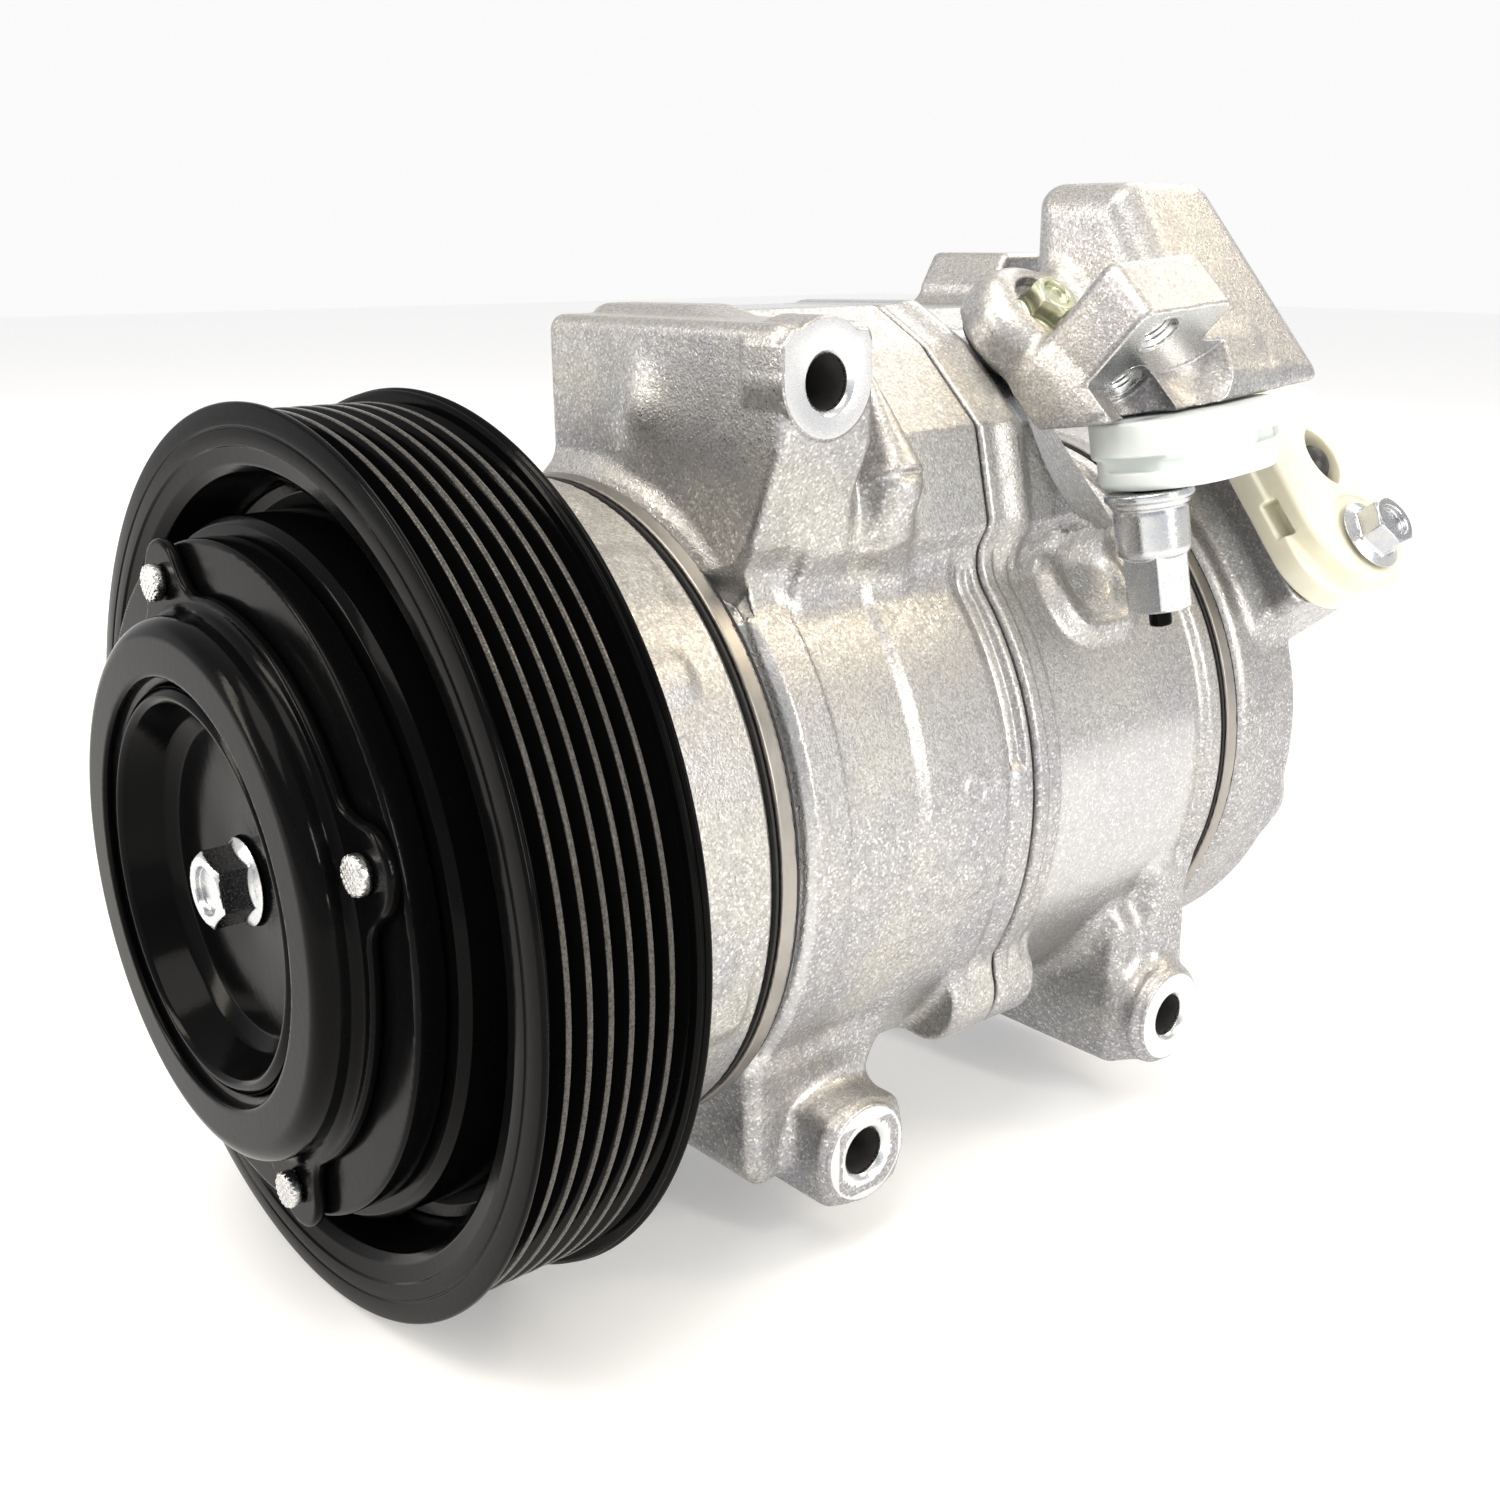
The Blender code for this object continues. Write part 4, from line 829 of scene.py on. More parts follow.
def rear_cover(x, y, z):
    r = np.hypot(x, z)
    th = np.degrees(np.arctan2(z, x))
    d = ri(r - 60.2, slabd(y, 181.4, 203.5), 3.5)
    d = np.maximum(d, ri(r - 60.2, 181.4 - y, 1.1))
    d = ru(d, rody(x, y, z, 9.0, 190.0, 206.5, 0, 0, 1.2), 3.0)
    for a in BOLT_ANGLES:
        p = polar(51.5, a)
        d = ru(d, rody(x, y, z, 8.5, 185.0, 205.4, p[0], p[2], 1.5), 3.0)
    for a in (18.0, 90.0, 162.0, 234.0, 306.0):
        c, s = math.cos(math.radians(a)), math.sin(math.radians(a))
        along, off = x * c + z * s, -x * s + z * c
        d = ru(d, ri(ri(slabd(along, 6.0, 50.0), np.abs(off) - 1.8, 1.0), slabd(y, 198.0, 205.6), 1.0), 2.5)
    q = (x - PORT2_C[0]) * PORT2_N[0] + (z - PORT2_C[2]) * PORT2_N[2]
    v = (x - PORT2_C[0]) * PORT2_V[0] + (z - PORT2_C[2]) * PORT2_V[2]
    w = y - PORT2_C[1]
    block = ri(poly(w, v, [(-17.5, -22), (13, -22), (17.5, -17), (17.5, 17), (13, 22), (-17.5, 22)], 3.0), slabd(q, -30.0, 0.0), 0.6)
    d = ru(d, block, 5.0)
    d = rs(d, ri(np.hypot(w, v - 5.0) - 8.0, -18 - q, 0.5), 0.4)
    d = rs(d, ri(np.hypot(w, v + 14.5) - 3.4, -16 - q, 0.5), 0.3)
    cavity = rody(x, y, z, 49.6, 176.0, 197.5, 0, 0, 2.0)
    post = rody(x, y, z, 9.0, 176.0, 199.0, 0, 0, 0.5)
    d = rs(d, rs(cavity, post, 0.5), 0.5)
    d = rs(d, rody(x, y, z, 5.0, 176.0, 199.0, 0, 0, 0.3), 0.3)
    for a in BOLT_ANGLES:
        p = polar(53.5, a)
        d = rs(d, rody(x, y, z, 3.3, 170.0, 196.5, p[0], p[2], 0.3), 0.2)
    return d


def nose(x, y, z):
    r = np.hypot(x, z)
    th = np.degrees(np.arctan2(z, x))
    line = [(13.5, -1.8), (16.4, -1.8), (17.2, -1.0), (17.2, 0.2), (16.3, 0.2), (16.3, 1.6), (17.2, 1.6), (17.2, 23.2),
            (24.0, 23.2), (24.0, 26.9), (50.0, 26.9), (56.2, 27.4), (57.8, 31.0), (60.3, 36.0), (60.3, 54.8), (49.6, 54.8),
            (49.6, 37.0), (20.0, 37.0), (20.0, 54.8), (15.6, 54.8), (15.6, 30.5), (10.6, 30.5), (10.6, 28.0), (13.5, 28.0)]
    d = poly(r + 0 * y, y + 0 * r, line, 0.3)
    for a in BOLT_ANGLES:
        p = polar(53.0, a)
        d = ru(d, rody(x, y, z, 8.6, 30.0, 50.0, p[0], p[2], 1.5), 2.5)
        p = polar(53.5, a)
        d = rs(d, rody(x, y, z, 6.4, 10.0, 33.8, p[0], p[2], 0.3), 0.4)
        d = rs(d, rody(x, y, z, 3.3, 20.0, 70.0, p[0], p[2], 0.3), 0.3)
    for k, a in enumerate((36.0, 75.0, -10.0, 120.0, 160.0, 205.0, 250.0, 300.0)):
        p = polar(56.5, a)
        d = ru(d, rody(x, y, z, 4.0, 31.0, 46.0 + 3 * (k % 2), p[0], p[2], 1.5), 3.0)
    d = np.maximum(d, ((r - 60.3) + (y - 54.8) + 1.1) * 0.7071)
    return np.maximum(d, r - 61.2)


def face_mask(points, normals):
    """Turned end faces of a block."""
    r = np.hypot(points[:, 0], points[:, 2])
    flat = np.clip((np.abs(normals[:, 1]) - 0.97) / 0.025, 0, 1)
    return flat * (r < 61.5)


def bores(points, normals):
    out = face_mask(points, normals)
    r = np.hypot(points[:, 0], points[:, 2])
    return np.maximum(out, (r < 54.5) * 1.0)


def rear_mask(points, normals):
    r = np.hypot(points[:, 0], points[:, 2])
    th = np.degrees(np.arctan2(points[:, 2], points[:, 0]))
    buff = band(points[:, 1], 126.5, 168.0, 1.2) * band(th, -24, 9, 3.0) * (r > 56) * 0.35
    off = (points - np.array((36.0, 138.0, 75.25))) @ FLANK_N
    seat = (np.abs(off + 1.0) < 1.2) * (normals @ FLANK_N > 0.96) * (points[:, 1] > 126) * 0.9
    top = (normals[:, 2] > 0.98) * (points[:, 2] > 85) * (points[:, 1] < 158) * 0.9
    return np.maximum(np.maximum(bores(points, normals), buff), np.maximum(seat, top))


def front_mask(points, normals):
    r = np.hypot(points[:, 0], points[:, 2])
    th = np.degrees(np.arctan2(points[:, 2], points[:, 0]))
    lip = (np.abs(normals[:, 1] + 0.7071) < 0.12) * (r > 55) * (r < 61) * (points[:, 1] < 65) * 0.4
    top = (normals[:, 2] > 0.98) * (points[:, 2] > 87.6) * (points[:, 1] > 82) * 0.9
    flank = (normals @ FLANK_N > 0.985) * (points[:, 1] > 101) * 0.0
    return np.maximum(np.maximum(bores(points, normals), lip), np.maximum(top, flank))


implicit("front_cylinder_casting", front_block, (-66, 60, -72), (62, 118, 92), 0.66, M_BLOCK_F, BODY, ["front_cylinder_block"],
         extra=front_mask)
implicit("rear_cylinder_casting", rear_block, (-66, 117, -72), (66, 177, 98), 0.66, M_BLOCK_R, BODY, ["rear_cylinder_block"],
         extra=rear_mask)
implicit("front_housing_casting", nose, (-63, -3, -63), (63, 56, 63), 0.75, M_HOUSING_F, BODY, ["front_housing"],
         extra=lambda p, n: np.maximum(face_mask(p, n) * (p[:, 1] > 50), (np.hypot(p[:, 0], p[:, 2]) < 26) * 0.9))
implicit("rear_housing_casting", rear_cover, (-63, 180, -63), (72, 230, 74), 0.75, M_HOUSING_R, BODY, ["rear_housing"],
         [(PORT2_C, PORT2_N, 0.3, 40.0)], extra=lambda p, n: face_mask(p, n) * (p[:, 1] < 183))
implicit("suction_manifold_casting", manifold, (20, 124, 62), (74, 212, 113), 0.6, M_MANIFOLD, BODY, ["suction_manifold"],
         [(HOLE_A, DOWN, 0.5, 30.0), (LOBE_FOOT + FLANK_N * 7.6, FLANK_N, 0.4, 7.5),
          (SEAT + FLANK_N * 0.5, -FLANK_N, 0.3, 60.0)])



def bore_face(name, b, reach, deep, material, steps=180):
    """Spot-faced end of a bore with its chamfer, and a near-black lining down the bore as painted shade; reach(y, z) is
    negative inside the face's outline.
    """
    t = np.linspace(0, 2 * math.pi, steps, endpoint=False)
    lo, hi = np.full(steps, 5.4), np.full(steps, 14.0)
    for _ in range(24):
        mid = (lo + hi) / 2
        inside = reach(b[1] - np.cos(t) * mid, b[2] - np.sin(t) * mid) < -0.35
        lo, hi = np.where(inside, mid, lo), np.where(inside, hi, mid)
    rows = [(lo, 0.05), (np.full(steps, 5.36), 0.05), (np.full(steps, 5.26), 0.01), (np.full(steps, 4.44), -0.81),
            (np.full(steps, 4.38), -0.95), (np.full(steps, 4.38), -1.6), (np.full(steps, 5.2), -1.9), (lo, -0.5)]
    points = np.concatenate([np.stack([np.full(steps, b[0] + high), b[1] - np.cos(t) * r, b[2] - np.sin(t) * r], 1)
                             for r, high in rows])
    at = np.arange(steps)
    quads = np.concatenate([np.stack([j * steps + at, k * steps + at, k * steps + np.roll(at, -1), j * steps + np.roll(at, -1)], 1)
                            for j, k in ((j, (j + 1) % len(rows)) for j in range(len(rows)))])
    corners = points[quads]
    if np.einsum("ij,ij->i", corners[:, 0], np.cross(corners[:, 1], corners[:, 2])).sum() < 0:
        quads = quads[:, ::-1]
    mesh = to_mesh(name, points, quads, None, np.ones(len(points)))
    mesh.set_sharp_from_angle(angle=math.radians(25))
    add(name, mesh, material, BODY, [])
    # the lining down the bore, near-black as painted shade
    lathe(name + "_wall", [(5.1, -1.5), (4.4, -1.5), (4.4, -deep), (5.1, -deep)], M_BORE_SHADE, BODY, [], 96,
          centre=b, axis=(1, 0, 0), r=0.1)


def upper_outline(y, z):
    return np.minimum(np.hypot(y - 70.7, z - 79.6) - 9.6,
                      poly(y, z, [(61.2, 79.6), (61.2, 85.0), (63.5, 87.4), (79.0, 87.0), (80.2, 85.0), (80.2, 79.6)], 0.5))


bore_face("upper_front_bore_face", UP_BORE, upper_outline, 63.0, M_BLOCK_F)
bore_face("lower_front_bore_face", LOW_BORE, lambda y, z: np.hypot(y - 80.5, z + 57.8) - 9.2, 38.0, M_BLOCK_F)
bore_face("lower_rear_bore_face", REAR_BORE, lambda y, z: np.hypot(y - 165.0, z + 55.6) - 9.5, 31.5, M_BLOCK_R)
bore_face("upper_rear_bore_face", FAR_BORE, lambda y, z: np.hypot(y - 166.0, z - 84.0) - 8.4, 20.5, M_BLOCK_R)
for name, b in (("first", HOLE_A), ("second", HOLE_B)):
    turns = [(3.02 if k % 2 else 3.5, -0.75 - 0.5 * k, 0.05) for k in range(18)]
    lathe(name + "_port_thread", [(4.75, 0.04, 0.02), (4.3, 0.04, 0.1)] + turns + [(4.0, -9.6, 0.1), (4.0, -1.4, 0.1), (4.75, -0.4, 0.1)],
          M_MANIFOLD, BODY, [], 96, centre=b, axis=DOWN, mask=lambda q: np.ones(len(q)))

# ------------------------------------------------------------------ gaskets, plates and internals


def ring(name, node, r0, r1, y0, y1, material, body=BODY, slot="gasket", r=0.15, steps=192):
    return lathe(name, [(r1, y1), (r1, y0), (r0, y0), (r0, y1)], material, body, [node], steps, r=r)


for node, span in (("front_gasket_outer", (55.1, 55.7)), ("front_gasket_inner", (59.6, 60.2)),
                   ("rear_gasket_inner", (176.0, 176.6)), ("rear_gasket_outer", (180.5, 181.1))):
    ring(node + "_ring", node, 57.3, 60.0, *span, M_GASKET)
ring("centre_seal_ring", "centre_seal", 56.9, 59.7, 117.2, 117.8, M_GASKET)


def plate_of(y0, y1):
    def plate(x, y, z):
        d = rs(rody(x, y, z, 60.5, y0, y1, rnd=0.35), np.hypot(x, z) - 10.0, 0.3)
        for i in range(5):
            p, q = polar(53.5, BOLT_ANGLES[i]), polar(42.0, BORE_ANGLES[i])
            d = rs(d, np.hypot(x - p[0], z - p[2]) - 3.3, 0.2)
            d = rs(d, np.hypot(x - q[0], z - q[2]) - 2.8, 0.2)
        return d
    return plate


for node, y0, y1 in (("front_valve_plate", 56.0, 59.3), ("rear_valve_plate", 176.9, 180.2)):
    implicit(node + "_disc", plate_of(y0, y1), (-62, y0 - 1, -62), (62, y1 + 1, 62), 0.7, M_PLATE, BODY, [node])

lathe("coil_can_shell", [(56.0, 26.4), (56.0, 24.8), (53.2, 24.8), (53.2, 5.2), (51.2, 5.2), (51.2, 23.4), (36.0, 23.4),
                         (36.0, 5.2), (34.0, 5.2), (34.0, 24.8), (27.0, 24.8), (27.0, 26.4)], M_STEEL, BODY,
      ["field_coil_can"], 160, r=0.5)
lathe("coil_winding_pack", [(50.9, 23.0), (50.9, 7.0), (36.3, 7.0), (36.3, 23.0)], M_COPPER, BODY,
      ["field_coil_winding"], 160, r=1.0)
lathe("bearing_inner_ring", [(19.4, 22.6), (19.4, 2.4), (17.5, 2.4), (17.5, 22.6)], M_BEARING, BODY,
      ["bearing_inner_race"], 128)
lathe("bearing_outer_ring", [(25.9, 22.5), (25.9, 2.6), (22.6, 2.6), (22.6, 22.5)], M_BEARING, "pulley",
      ["bearing_outer_race"], 128)


def balls(x, y, z):
    r = np.hypot(x, z)
    a = np.arctan2(z, x)
    pitch = 2 * math.pi / 24
    a = (a + pitch / 2) % pitch - pitch / 2
    bx, bz = r * np.cos(a) - 21.0, r * np.sin(a)
    d = np.sqrt(bx * bx + bz * bz + (y - 12.6) ** 2) - 1.15
    return ru(d, ri(np.abs(r - 21.0) - 0.5, np.abs(y - 12.6) - 1.6, 0.3), 0.2)


implicit("bearing_ball_set", balls, (-24, 9, -24), (24, 16.5, 24), 0.4, M_BEARING, BODY, ["bearing_ball_row"])


def snap(x, y, z):
    r = np.hypot(x, z)
    d = ri(slabd(r, 16.6, 19.6), slabd(y, 0.55, 1.35), 0.2)
    return rs(d, ri(np.abs(x) - 3.0 + 0 * z, z + 4.0, 0.3), 0.3)


implicit("snap_ring_wire", snap, (-21, 0, -21), (21, 2, 21), 0.3, M_STEEL, BODY, ["pulley_snap_ring"])
for end, name in ((-1, "front"), (1, "rear")):
    y = 118.1 + end * 17.1
    lathe(name + "_thrust_race", [(19.0, y + 2.8), (19.0, y - 2.8), (9.4, y - 2.8), (9.4, y + 2.8)], M_BEARING, BODY,
          [name + "_thrust_bearing"], 96)
    y = 118.1 + end * 43.0
    lathe(name + "_shaft_sleeve", [(12.4, y + 9.0), (12.4, y - 9.0), (9.35, y - 9.0), (9.35, y + 9.0)], M_BEARING, BODY,
          [name + "_shaft_bearing"], 96)
lathe("shaft_lip_seal", [(15.2, 42.0), (15.2, 32.0), (9.1, 32.0), (9.1, 34.5), (12.0, 36.0), (12.0, 42.0)], M_RUBBER, BODY,
      ["shaft_seal"], 96)
lathe("drive_shaft_bar", [(0.0, 172.0), (8.4, 172.0), (9.0, 171.2), (9.0, 62.0), (8.8, 29.0), (7.4, 27.0), (7.4, -4.6),
                          (3.3, -4.6), (3.3, 15.0), (0.0, 16.6)], M_STEEL, "shaft", ["drive_shaft"], 96,
      closed=False)


def swash(x, y, z):
    t = math.radians(16.0)
    n = (0.0, math.cos(t), math.sin(t))
    c = np.array((0.0, 118.1, 0.0))
    d = ri(np.hypot(x, z) - 18.0, slabd(y, 104.2, 132.0), 0.8)
    d = ru(d, rod(x, y, z, c - np.array(n) * 4.8, c + np.array(n) * 4.8, 47.0, 1.0), 2.0)
    return rs(d, np.hypot(x, z) - 9.3, 0.5)


implicit("swash_plate_disc", swash, (-50, 100, -50), (50, 136, 50), 0.9, M_PISTON, "shaft", ["swash_plate"])


def piston_of(a):
    p = polar(37.0, a)
    c, s = math.cos(math.radians(a)), math.sin(math.radians(a))

    def piston(x, y, z):
        rr = np.hypot(x - p[0], z - p[2])
        d = ri(rr - 15.6, np.abs(y - 118.1) - 46.4, 0.7)
        for ring_y in (33.0, 43.0):
            d = np.maximum(d, -ri(np.abs(np.abs(y - 118.1) - ring_y) - 0.8, 15.0 - rr, 0.2))
        along, off = x * c + z * s, -x * s + z * c
        slot_ = ri(ri(slabd(along, 10.0, 48.2), np.abs(y - 118.1) - 29.5, 1.0), np.abs(off) - 17.0, 1.0)
        return rs(d, slot_, 0.6)
    return piston, p


for i in range(5):
    f, p = piston_of(90.0 + 72 * i)
    implicit(f"piston_{i + 1}_double", f, (p[0] - 18, 70, p[2] - 18), (p[0] + 18, 166, p[2] + 18), 0.9, M_PISTON,
             f"piston_{i + 1}", [f"piston_{i + 1}"],
             extra=lambda q, n: (np.abs(q[:, 1] - 118.1) > 30.5) * 0.8)

# ------------------------------------------------------------------ fasteners


def facing(point, normal, along=(0, 1, 0)):
    """Local Z along the normal, local X near the given direction, at a point (mm)."""
    zed = Vector(unit(normal))
    ex = Vector(along)
    if abs(ex.normalized().dot(zed)) > 0.95:
        ex = Vector((0, 0, 1))
    ex = (ex - zed * ex.dot(zed)).normalized()
    turn = Matrix((ex, zed.cross(ex), zed)).transposed().to_4x4()
    return Matrix.Translation(Vector(point)) @ turn


HEX = [(math.cos(math.radians(60 * k)), math.sin(math.radians(60 * k))) for k in range(6)]


def hexd(x, y, z, r, z0, z1, chamfer_top=True, chamfer_low=False, spin=0.0):
    c, s = math.cos(spin), math.sin(spin)
    u, v = x * c + y * s, -x * s + y * c
    d = ri(poly(u + 0 * z, v + 0 * z, [(r * a, r * b) for a, b in HEX], 0.25), slabd(z, z0, z1), 0.18)
    rho = np.hypot(x, y)
    flat = r * 0.866 * 0.97
    if chamfer_top:
        d = np.maximum(d, (rho - flat) * 0.5 + (z - z1) * 0.866)
    if chamfer_low:
        d = np.maximum(d, (rho - flat) * 0.62 + (z0 - z) * 0.785)
    return d


def cylz(x, y, z, r, z0, z1, rnd=0.3):
    return ri(np.hypot(x, y) + 0 * z - r, slabd(z, z0, z1), rnd)


def hexbolt(name, point, normal, material, body, nodes, flange, hexr, top, shank, deep, rise=1.5, dish=0.0, h=0.28,
            spin=0.3):
    """A flanged hexagon screw seated at point: flange radius, hexagon radius, top height, shank radius and depth."""
    def f(x, y, z):
        d = cylz(x, y, z, flange, 0.0, rise, 0.45)
        cone = (np.hypot(x, y) - flange + 0.9) * 0.5 + (z - rise * 0.55) * 0.866
        d = np.maximum(d, cone)
        d = ru(d, hexd(x, y, z, hexr, 0.2, top, spin=spin), 0.5)
        d = ru(d, cylz(x, y, z, hexr * 0.8, 0.1, top - 0.6, 0.2), 0.2)
        if dish:
            d = rs(d, cylz(x, y, z, dish, top - 1.1, top + 3, 0.3), 0.35)
        d = ru(d, cylz(x, y, z, shank + 0.12 * np.abs(((z * 1.0) % 1.0) - 0.5) * 2 * (z < -4) - 0.06, -deep, 0.3, 0.4), 0.2)
        return d
    reach = max(flange, hexr) + 1
    return implicit(name, f, (-reach, -reach, -deep - 1), (reach, reach, top + 1), h, material, body, nodes,
                    matrix=facing(point, normal))


seat = LOBE_FOOT + FLANK_N * 7.6
hexbolt("manifold_hex_screw", seat + FLANK_N * 0.3, FLANK_N, M_YELLOW, BODY, ["manifold_bolt"], 5.4, 4.7, 5.4,
        2.75, 19.0, 1.1, 2.7)
STUD2 = PORT2_C - PORT2_V * 14.5
PLUG2 = PORT2_C + PORT2_V * 5.0
hexbolt("port_cap_2_screw", STUD2 + PORT2_N * 11.2, PORT2_N, M_ZINC, BODY, ["port_cap_2_bolt"], 7.7, 5.7, 6.6, 2.85, 22.5,
        1.5, 3.3, spin=0.1)
hexbolt("centre_screw", (0, -7.5, 0), (0, -1, 0), M_ZINC, "shaft", ["clutch_centre_bolt"], 7.6, 6.6, 6.7, 2.95, 21.0,
        1.5, 4.0, spin=0.18)
for i in range(5):
    p = polar(53.5, BOLT_ANGLES[i])
    hexbolt(f"long_bolt_{i + 1}", (p[0], 33.4, p[2]), (0, -1, 0), M_ZINC, BODY, [f"through_bolt_{i + 1}"], 5.4, 4.6, 5.2,
            2.85, 162.0, 1.2, 0.0, 0.5)


def nut1(x, y, z):
    d = cylz(x, y, z, 8.2, 0.0, 1.7, 0.6)
    d = ru(d, cylz(x, y, z, 7.4, 1.0, 3.0, 0.8), 0.7)
    d = ru(d, cylz(x, y, z, 6.9, 2.0, 12.6, 2.2), 0.5)
    d = ru(d, hexd(x, y, z, 6.55, 8.0, 22.2, True, True, spin=0.35), 0.15)
    return rs(d, cylz(x, y, z, 3.1, -2, 30, 0.2), 0.35)


NUT_Z = 7.2
implicit("port_cap_1_long_nut", nut1, (-9.5, -9.5, -1), (9.5, 9.5, 23.5), 0.27, M_ZINC, BODY, ["port_cap_1_nut"],
         matrix=facing(STUD1 + PORT1_N * NUT_Z, PORT1_N))


def stud1(x, y, z):
    thread = 0.14 * np.abs((z % 1.0) - 0.5) * 2
    return ru(cylz(x, y, z, 2.75 - thread, -5.0, 29.0, 0.5), cylz(x, y, z, 2.1, 20.0, 32.6, 0.5), 0.3)


implicit("port_cap_1_threaded_stud", stud1, (-4, -4, -6), (4, 4, 33.5), 0.22, M_BLACK, BODY, ["port_cap_1_stud"],
         matrix=facing(STUD1, PORT1_N))

# ------------------------------------------------------------------ shipping caps


def ovald(x, y, length, width):
    run = (length - width) / 2
    return np.hypot(np.maximum(np.abs(x) - run, 0), y) + np.minimum(0, 0) - width / 2


def cap1(x, y, z):
    # local X along the port face, towards the rear; the port side is -Z
    d = ri(ovald(x, y, 38.5, 29.0) + 0 * z, slabd(z, -5.6, 1.3), 0.5)
    d = ru(d, ri(ovald(x, y, 36.6, 27.2) + 0 * z, slabd(z, 0.0, 6.9), 1.6), 0.4)
    # slots between the two shells
    d = rs(d, boxd(x, y, z, (1.5, -17.0, -0.6), (11.0, -11.4, 1.6), 0.3), 0.3)
    d = rs(d, boxd(x, y, z, (1.5, 11.4, -0.6), (11.0, 17.0, 1.6), 0.3), 0.3)
    d = rs(d, boxd(x, y, z, (-21.0, -8.0, 0.6), (-16.8, 8.0, 3.4), 0.3), 0.3)
    d = rs(d, boxd(x, y, z, (16.8, -9.0, -0.8), (21.0, 9.0, 1.9), 0.3), 0.3)
    return rs(d, cylz(x + 12.4, y, z, 3.3, -20, 20, 0.2), 0.3)


implicit("port_cap_1_shell", cap1, (-21, -16, -7), (21, 16, 9), 0.42, M_NYLON, BODY, ["port_cap_1"],
         matrix=facing(PORT1_C, PORT1_N))


def cap2(x, y, z):
    # local X up the port face, local Z out of it, local Y towards the rear or the front by the frame's hand
    d = ri(ri(np.abs(x) - 25.0, np.abs(y) - 19.0, 13.0) + 0 * z, slabd(z, 0.0, 5.6), 0.6)
    d = ru(d, ri(ovald(x, y, 46.5, 34.5) + 0 * z, slabd(z, 3.0, 10.6), 1.4), 0.5)
    lens = ri(np.hypot(x - 5.0, y - 3.0) - 7.4, np.hypot(x - 5.0, y + 3.0) - 7.4, 0.3)
    d = rs(d, ri(lens + 0 * z, slabd(z, -3, 20), 0.1), 0.6)
    for s in (-1, 1):
        d = rs(d, boxd(x, y * s, z, (-9.0, 13.6, 3.6), (-1.0, 22.0, 6.6), 0.4), 0.4)
        d = rs(d, boxd(x, y * s, z, (8.0, 13.6, 3.6), (13.0, 22.0, 6.6), 0.4), 0.4)
    d = rs(d, cylz(x + 14.5, y, z, 10.0, 10.0, 20, 0.3), 0.4)
    return rs(d, cylz(x + 14.5, y, z, 3.3, -20, 20, 0.2), 0.3)


implicit("port_cap_2_shell", cap2, (-27, -21, -1), (27, 21, 12), 0.45, M_CREAM, BODY, ["port_cap_2"],
         matrix=facing(PORT2_C + PORT2_N * 0.3, PORT2_N, tuple(PORT2_V)))


def plug(x, y, z):
    d = cylz(x, y, z, 4.3, -6.0, 6.6, 0.6)
    return ru(d, np.sqrt(x * x + y * y + (z - 6.4) ** 2) - 4.4, 0.5)


implicit("port_plug_2_dome", plug, (-6, -6, -7), (6, 6, 12), 0.3, M_RUBBER, BODY, ["port_plug_2"],
         matrix=facing(PLUG2, PORT2_N))
seal_at = LOBE_FOOT - FLANK_N * 0.93


def seal(x, y, z):
    return rs(ri(ovald(x, y, 24.0, 20.0) + 0 * z, slabd(z, -0.15, 0.15), 0.08), np.hypot(x, y) - 4.0, 0.05)


implicit("manifold_seal_sheet", seal, (-13, -11, -1), (13, 11, 1), 0.3, M_GASKET, BODY, ["manifold_gasket"],
         matrix=facing(seal_at, FLANK_N))

# ------------------------------------------------------------------ pulley

ridges = [(74.2, 28.6, 0.5), (76.6, 28.5, 0.7), (77.2, 27.7, 0.4), (76.2, 27.2, 0.3), (76.2, 26.9, 0.3), (76.9, 26.5, 0.4),
          (76.0, 26.0, 0.4), (74.6, 25.95, 0.3)]
for g in reversed(range(7)):
    y = 1.14 + g * 3.56
    ridges += [(72.35, y + 2.12, 0.25), (72.35, y + 1.44, 0.25)]
    if g:
        ridges += [(75.0, y + 0.42, 0.32), (75.0, y - 0.42, 0.32)]
ridges += [(75.2, 1.2, 0.3), (76.5, 0.5, 0.6), (76.3, -0.5, 0.5), (72.8, -0.72, 0.3), (72.6, -0.5, 0.1), (72.3, -0.5, 0.1),
           (72.1, -0.72, 0.1), (69.7, -0.72, 0.2), (69.4, -0.3, 0.2), (66.8, 0.1, 1.0), (65.2, 1.6, 1.0), (64.6, 6.0, 1.5),
           (63.4, 12.2, 1.0), (61.4, 13.4, 0.6), (58.9, 13.0, 0.8), (58.7, -0.5, 0.4), (57.6, -2.0, 0.5), (24.6, -2.0, 0.4),
           (24.6, 0.6, 0.1), (26.2, 0.6, 0.1), (26.2, 23.0, 0.3), (30.6, 23.0, 0.4), (30.6, 3.0, 0.5), (55.4, 3.0, 0.5),
           (55.4, 24.2, 0.3), (58.7, 24.2, 0.3), (59.3, 17.0, 0.5), (66.0, 17.4, 0.8), (68.6, 21.0, 1.0), (68.8, 28.0, 0.3),
           (69.4, 28.6, 0.3)]


def worn(p):
    r = np.hypot(p[:, 0], p[:, 2])
    tips = (r > 74.9) & (p[:, 1] > 1.5) & (p[:, 1] < 25.6)
    return tips * 0.35


lathe("pulley_wheel", ridges, M_BLACK_PULLEY, "pulley", ["pulley"], 360, mask=worn)

# ------------------------------------------------------------------ clutch

RIVETS = (109.0, 18.5, -71.0, 198.0)


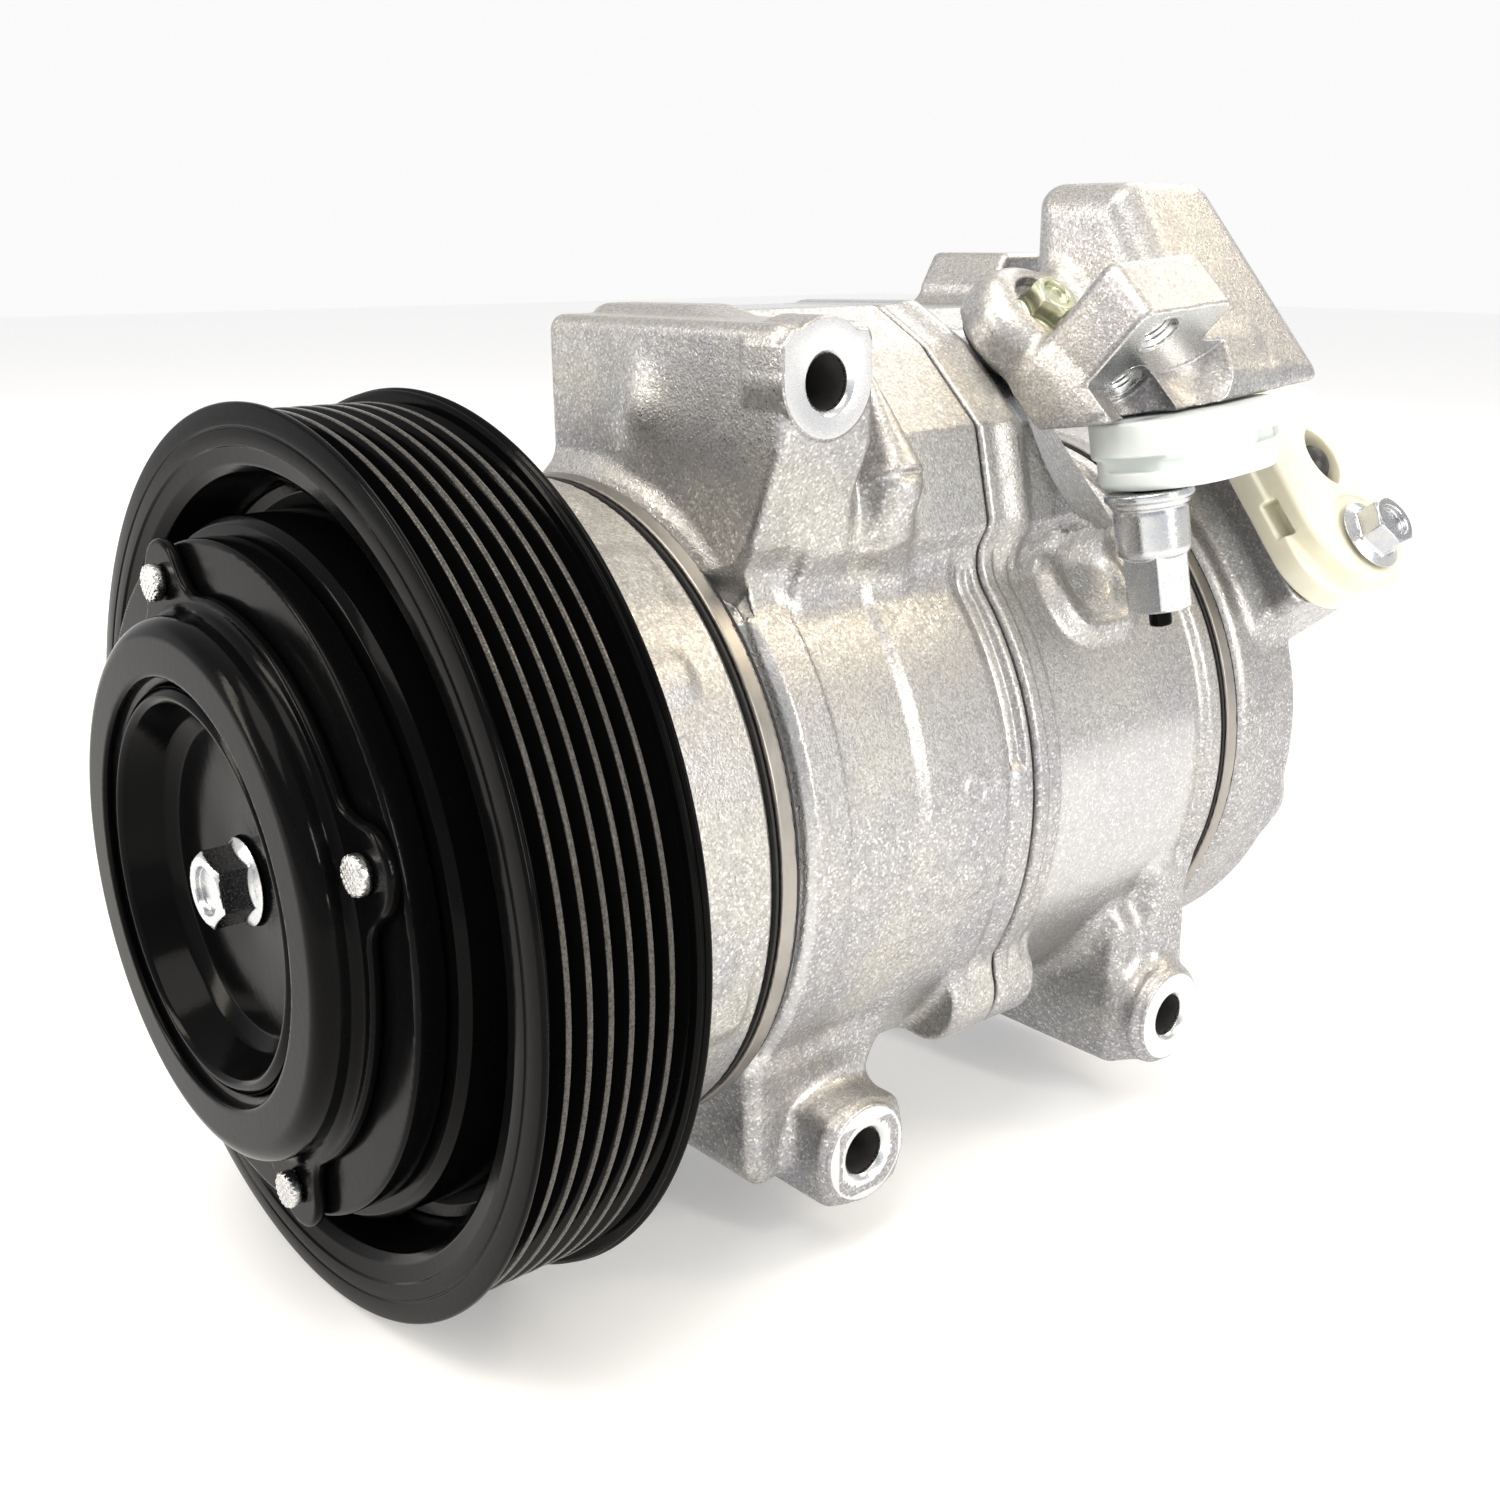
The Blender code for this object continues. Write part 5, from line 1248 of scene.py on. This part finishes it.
def cup(x, y, z):
    r = np.hypot(x, z)
    d = ri(r - 44.5, -16.8 - y, 3.4)
    d = ri(d, y + 8.2, 0.3)
    plan = r - 47.2
    for a in RIVETS:
        p = polar(50.1, a)
        plan = ru(plan, np.hypot(x - p[0], z - p[2]) - 7.0, 5.5)
    d = ru(d, ri(plan + 0 * y, slabd(y, -10.1, -8.1), 0.7), 1.8)
    d = rs(d, ri(r - 42.7, -15.4 - y, 2.0), 0.3)
    d = rs(d, r + 0 * y - 35.0, 0.8)
    for a in RIVETS:
        p = polar(50.1, a)
        d = rs(d, np.hypot(x - p[0], z - p[2]) - 2.25, 0.2)
    return d


implicit("clutch_cup_shell", cup, (-60, -18, -60), (60, -7, 60), 0.5, M_BLACK, "armature", ["clutch_cup"])


def armature(x, y, z):
    r = np.hypot(x, z)
    d = ri(slabd(r, 34.6, 55.8), slabd(y, -7.7, -2.6), 0.6)
    for a in RIVETS:
        p = polar(50.1, a)
        d = rs(d, np.hypot(x - p[0], z - p[2]) - 2.25, 0.2)
    return d


implicit("armature_disc", armature, (-57, -9, -57), (57, -1.5, 57), 0.6, M_BLACK, "armature", ["armature_plate"])


def rivet(x, y, z):
    d = ri(np.hypot(x, y) - 3.1 + 0 * z, slabd(z, 0.0, 2.3), 0.75)
    u, v = (x + y) * 0.7071, (x - y) * 0.7071
    hatch = 0.16 * (np.maximum(np.cos(u * 7.2), np.cos(v * 7.2)) > 0.55)
    hatch = 0.15 * np.clip((np.maximum(np.cos(u * 7.2), np.cos(v * 7.2)) - 0.35) * 2.2, 0, 1)
    d = d + hatch * step(z, 1.2, 2.0)
    return ru(d, cylz(x, y, z, 2.0, -7.2, 0.4, 0.2), 0.2)


for i, a in enumerate(RIVETS):
    p = polar(50.1, a)
    implicit(f"clutch_rivet_{i + 1}_head", rivet, (-4, -4, -8), (4, 4, 3.2), 0.14, M_RIVET, "armature", [f"clutch_rivet_{i + 1}"],
             matrix=facing((p[0], -10.2, p[2]), (0, -1, 0)))
lathe("clutch_damper_ring", [(42.0, -11.0), (42.0, -13.5), (41.0, -14.4), (35.0, -14.4), (33.9, -13.8), (33.9, -11.0)], M_RUBBER,
      "shaft", ["clutch_damper"], 192)
lathe("clutch_hub_bowl", [(11.0, 6.0), (11.0, -4.2, 1.0), (27.6, -4.2, 1.0), (33.2, -5.6, 1.5), (33.4, -15.0, 0.7),
                          (31.8, -16.0, 0.7), (30.8, -15.2, 0.7), (28.6, -9.0, 1.5), (26.0, -7.2, 1.6), (3.4, -7.2, 0.2),
                          (3.4, -5.0, 0.2), (7.7, -5.0, 0.2), (7.7, 6.0, 0.3)], M_BLACK, "shaft", ["clutch_inner_hub"],
      240)

# ------------------------------------------------------------------ stage, light and camera

floor_mesh = bpy.data.meshes.new("floor")
F = 4.0
floor_mesh.from_pydata([(-F, -F, 0), (F, -F, 0), (F, F, 0), (-F, F, 0)], [], [(0, 1, 2, 3)])
floor = bpy.data.objects.new("floor", floor_mesh)
floor.location = (0, 0, -0.0777)
bpy.context.scene.collection.objects.link(floor)
n = Nodes("pale_floor")
grain = n.noise(0.01, 2.0)
n.set(Base_Color=n.mix(grain, (0.93, 0.93, 0.93), (0.95, 0.95, 0.95)), Roughness=0.75, Specular_IOR_Level=0.2,
      Emission_Color=(1.0, 1.0, 1.0), Emission_Strength=0.18)
floor_mesh.materials.append(n.material)

world = bpy.data.worlds.new("studio")
world.use_nodes = True
bpy.context.scene.world = world
tree = world.node_tree
coord = tree.nodes.new("ShaderNodeTexCoord")
split = tree.nodes.new("ShaderNodeSeparateXYZ")
tree.links.new(coord.outputs["Generated"], split.inputs[0])
ramp = tree.nodes.new("ShaderNodeValToRGB")
tree.links.new(split.outputs["Z"], ramp.inputs["Fac"])
stops = [(0.0, (0.98, 0.98, 0.98)), (0.18, (0.98, 0.98, 0.98)), (0.40, (0.56, 0.57, 0.60)), (0.66, (0.66, 0.66, 0.67)),
         (0.92, (1.0, 0.98, 0.95))]
while len(ramp.color_ramp.elements) < len(stops):
    ramp.color_ramp.elements.new(0.5)
for element, (place, colour) in zip(ramp.color_ramp.elements, stops):
    element.position, element.color = place, (*colour, 1)
tree.links.new(ramp.outputs["Color"], tree.nodes["Background"].inputs["Color"])
tree.nodes["Background"].inputs["Strength"].default_value = 0.98


def softbox(name, place, target, size, power, colour=(1, 1, 1)):
    light = bpy.data.lights.new(name, "AREA")
    light.shape = "RECTANGLE"
    light.size, light.size_y = size
    light.energy = power
    light.color = colour
    obj = bpy.data.objects.new(name, light)
    obj.location = place
    obj.rotation_euler = (Vector(target) - Vector(place)).to_track_quat("-Z", "Y").to_euler()
    bpy.context.scene.collection.objects.link(obj)
    return obj


softbox("key_above", (0.15, -0.35, 1.0), (0, 0, 0), (0.6, 0.8), 8, (1.0, 0.95, 0.87))
softbox("fill_front_left", (-0.55, -1.0, 0.55), (0, -0.05, 0), (0.22, 0.9), 8, (1.0, 0.93, 0.82))
softbox("side_right", (1.05, 0.22, 0.40), (0, 0.03, 0.0), (0.10, 0.60), 6, (1.0, 0.96, 0.88))
softbox("rim_back", (-0.3, 1.0, 0.9), (0, 0, 0), (0.8, 0.5), 3)
softbox("warm_behind", (0.46, 0.80, 0.86), (0, 0, 0), (0.30, 0.30), 2.6, (1.0, 0.86, 0.64))

camera = bpy.data.cameras.new("camera")
camera.sensor_width = 36
camera.lens = 40.90
camera.shift_x, camera.shift_y = 0.0003, -0.01165
camera.clip_start = 0.01
view = bpy.data.objects.new("camera", camera)
turn = Matrix(((.64804, -.21215, .73146), (.76160, .18052, -.62239), (0, .96042, .27856))).to_4x4()
view.matrix_world = Matrix.Translation((.2509, -.1840, .1005)) @ turn
bpy.context.scene.collection.objects.link(view)
bpy.context.scene.camera = view
bpy.context.scene.view_settings.view_transform = "Standard"
bpy.context.scene.view_settings.look = "None"
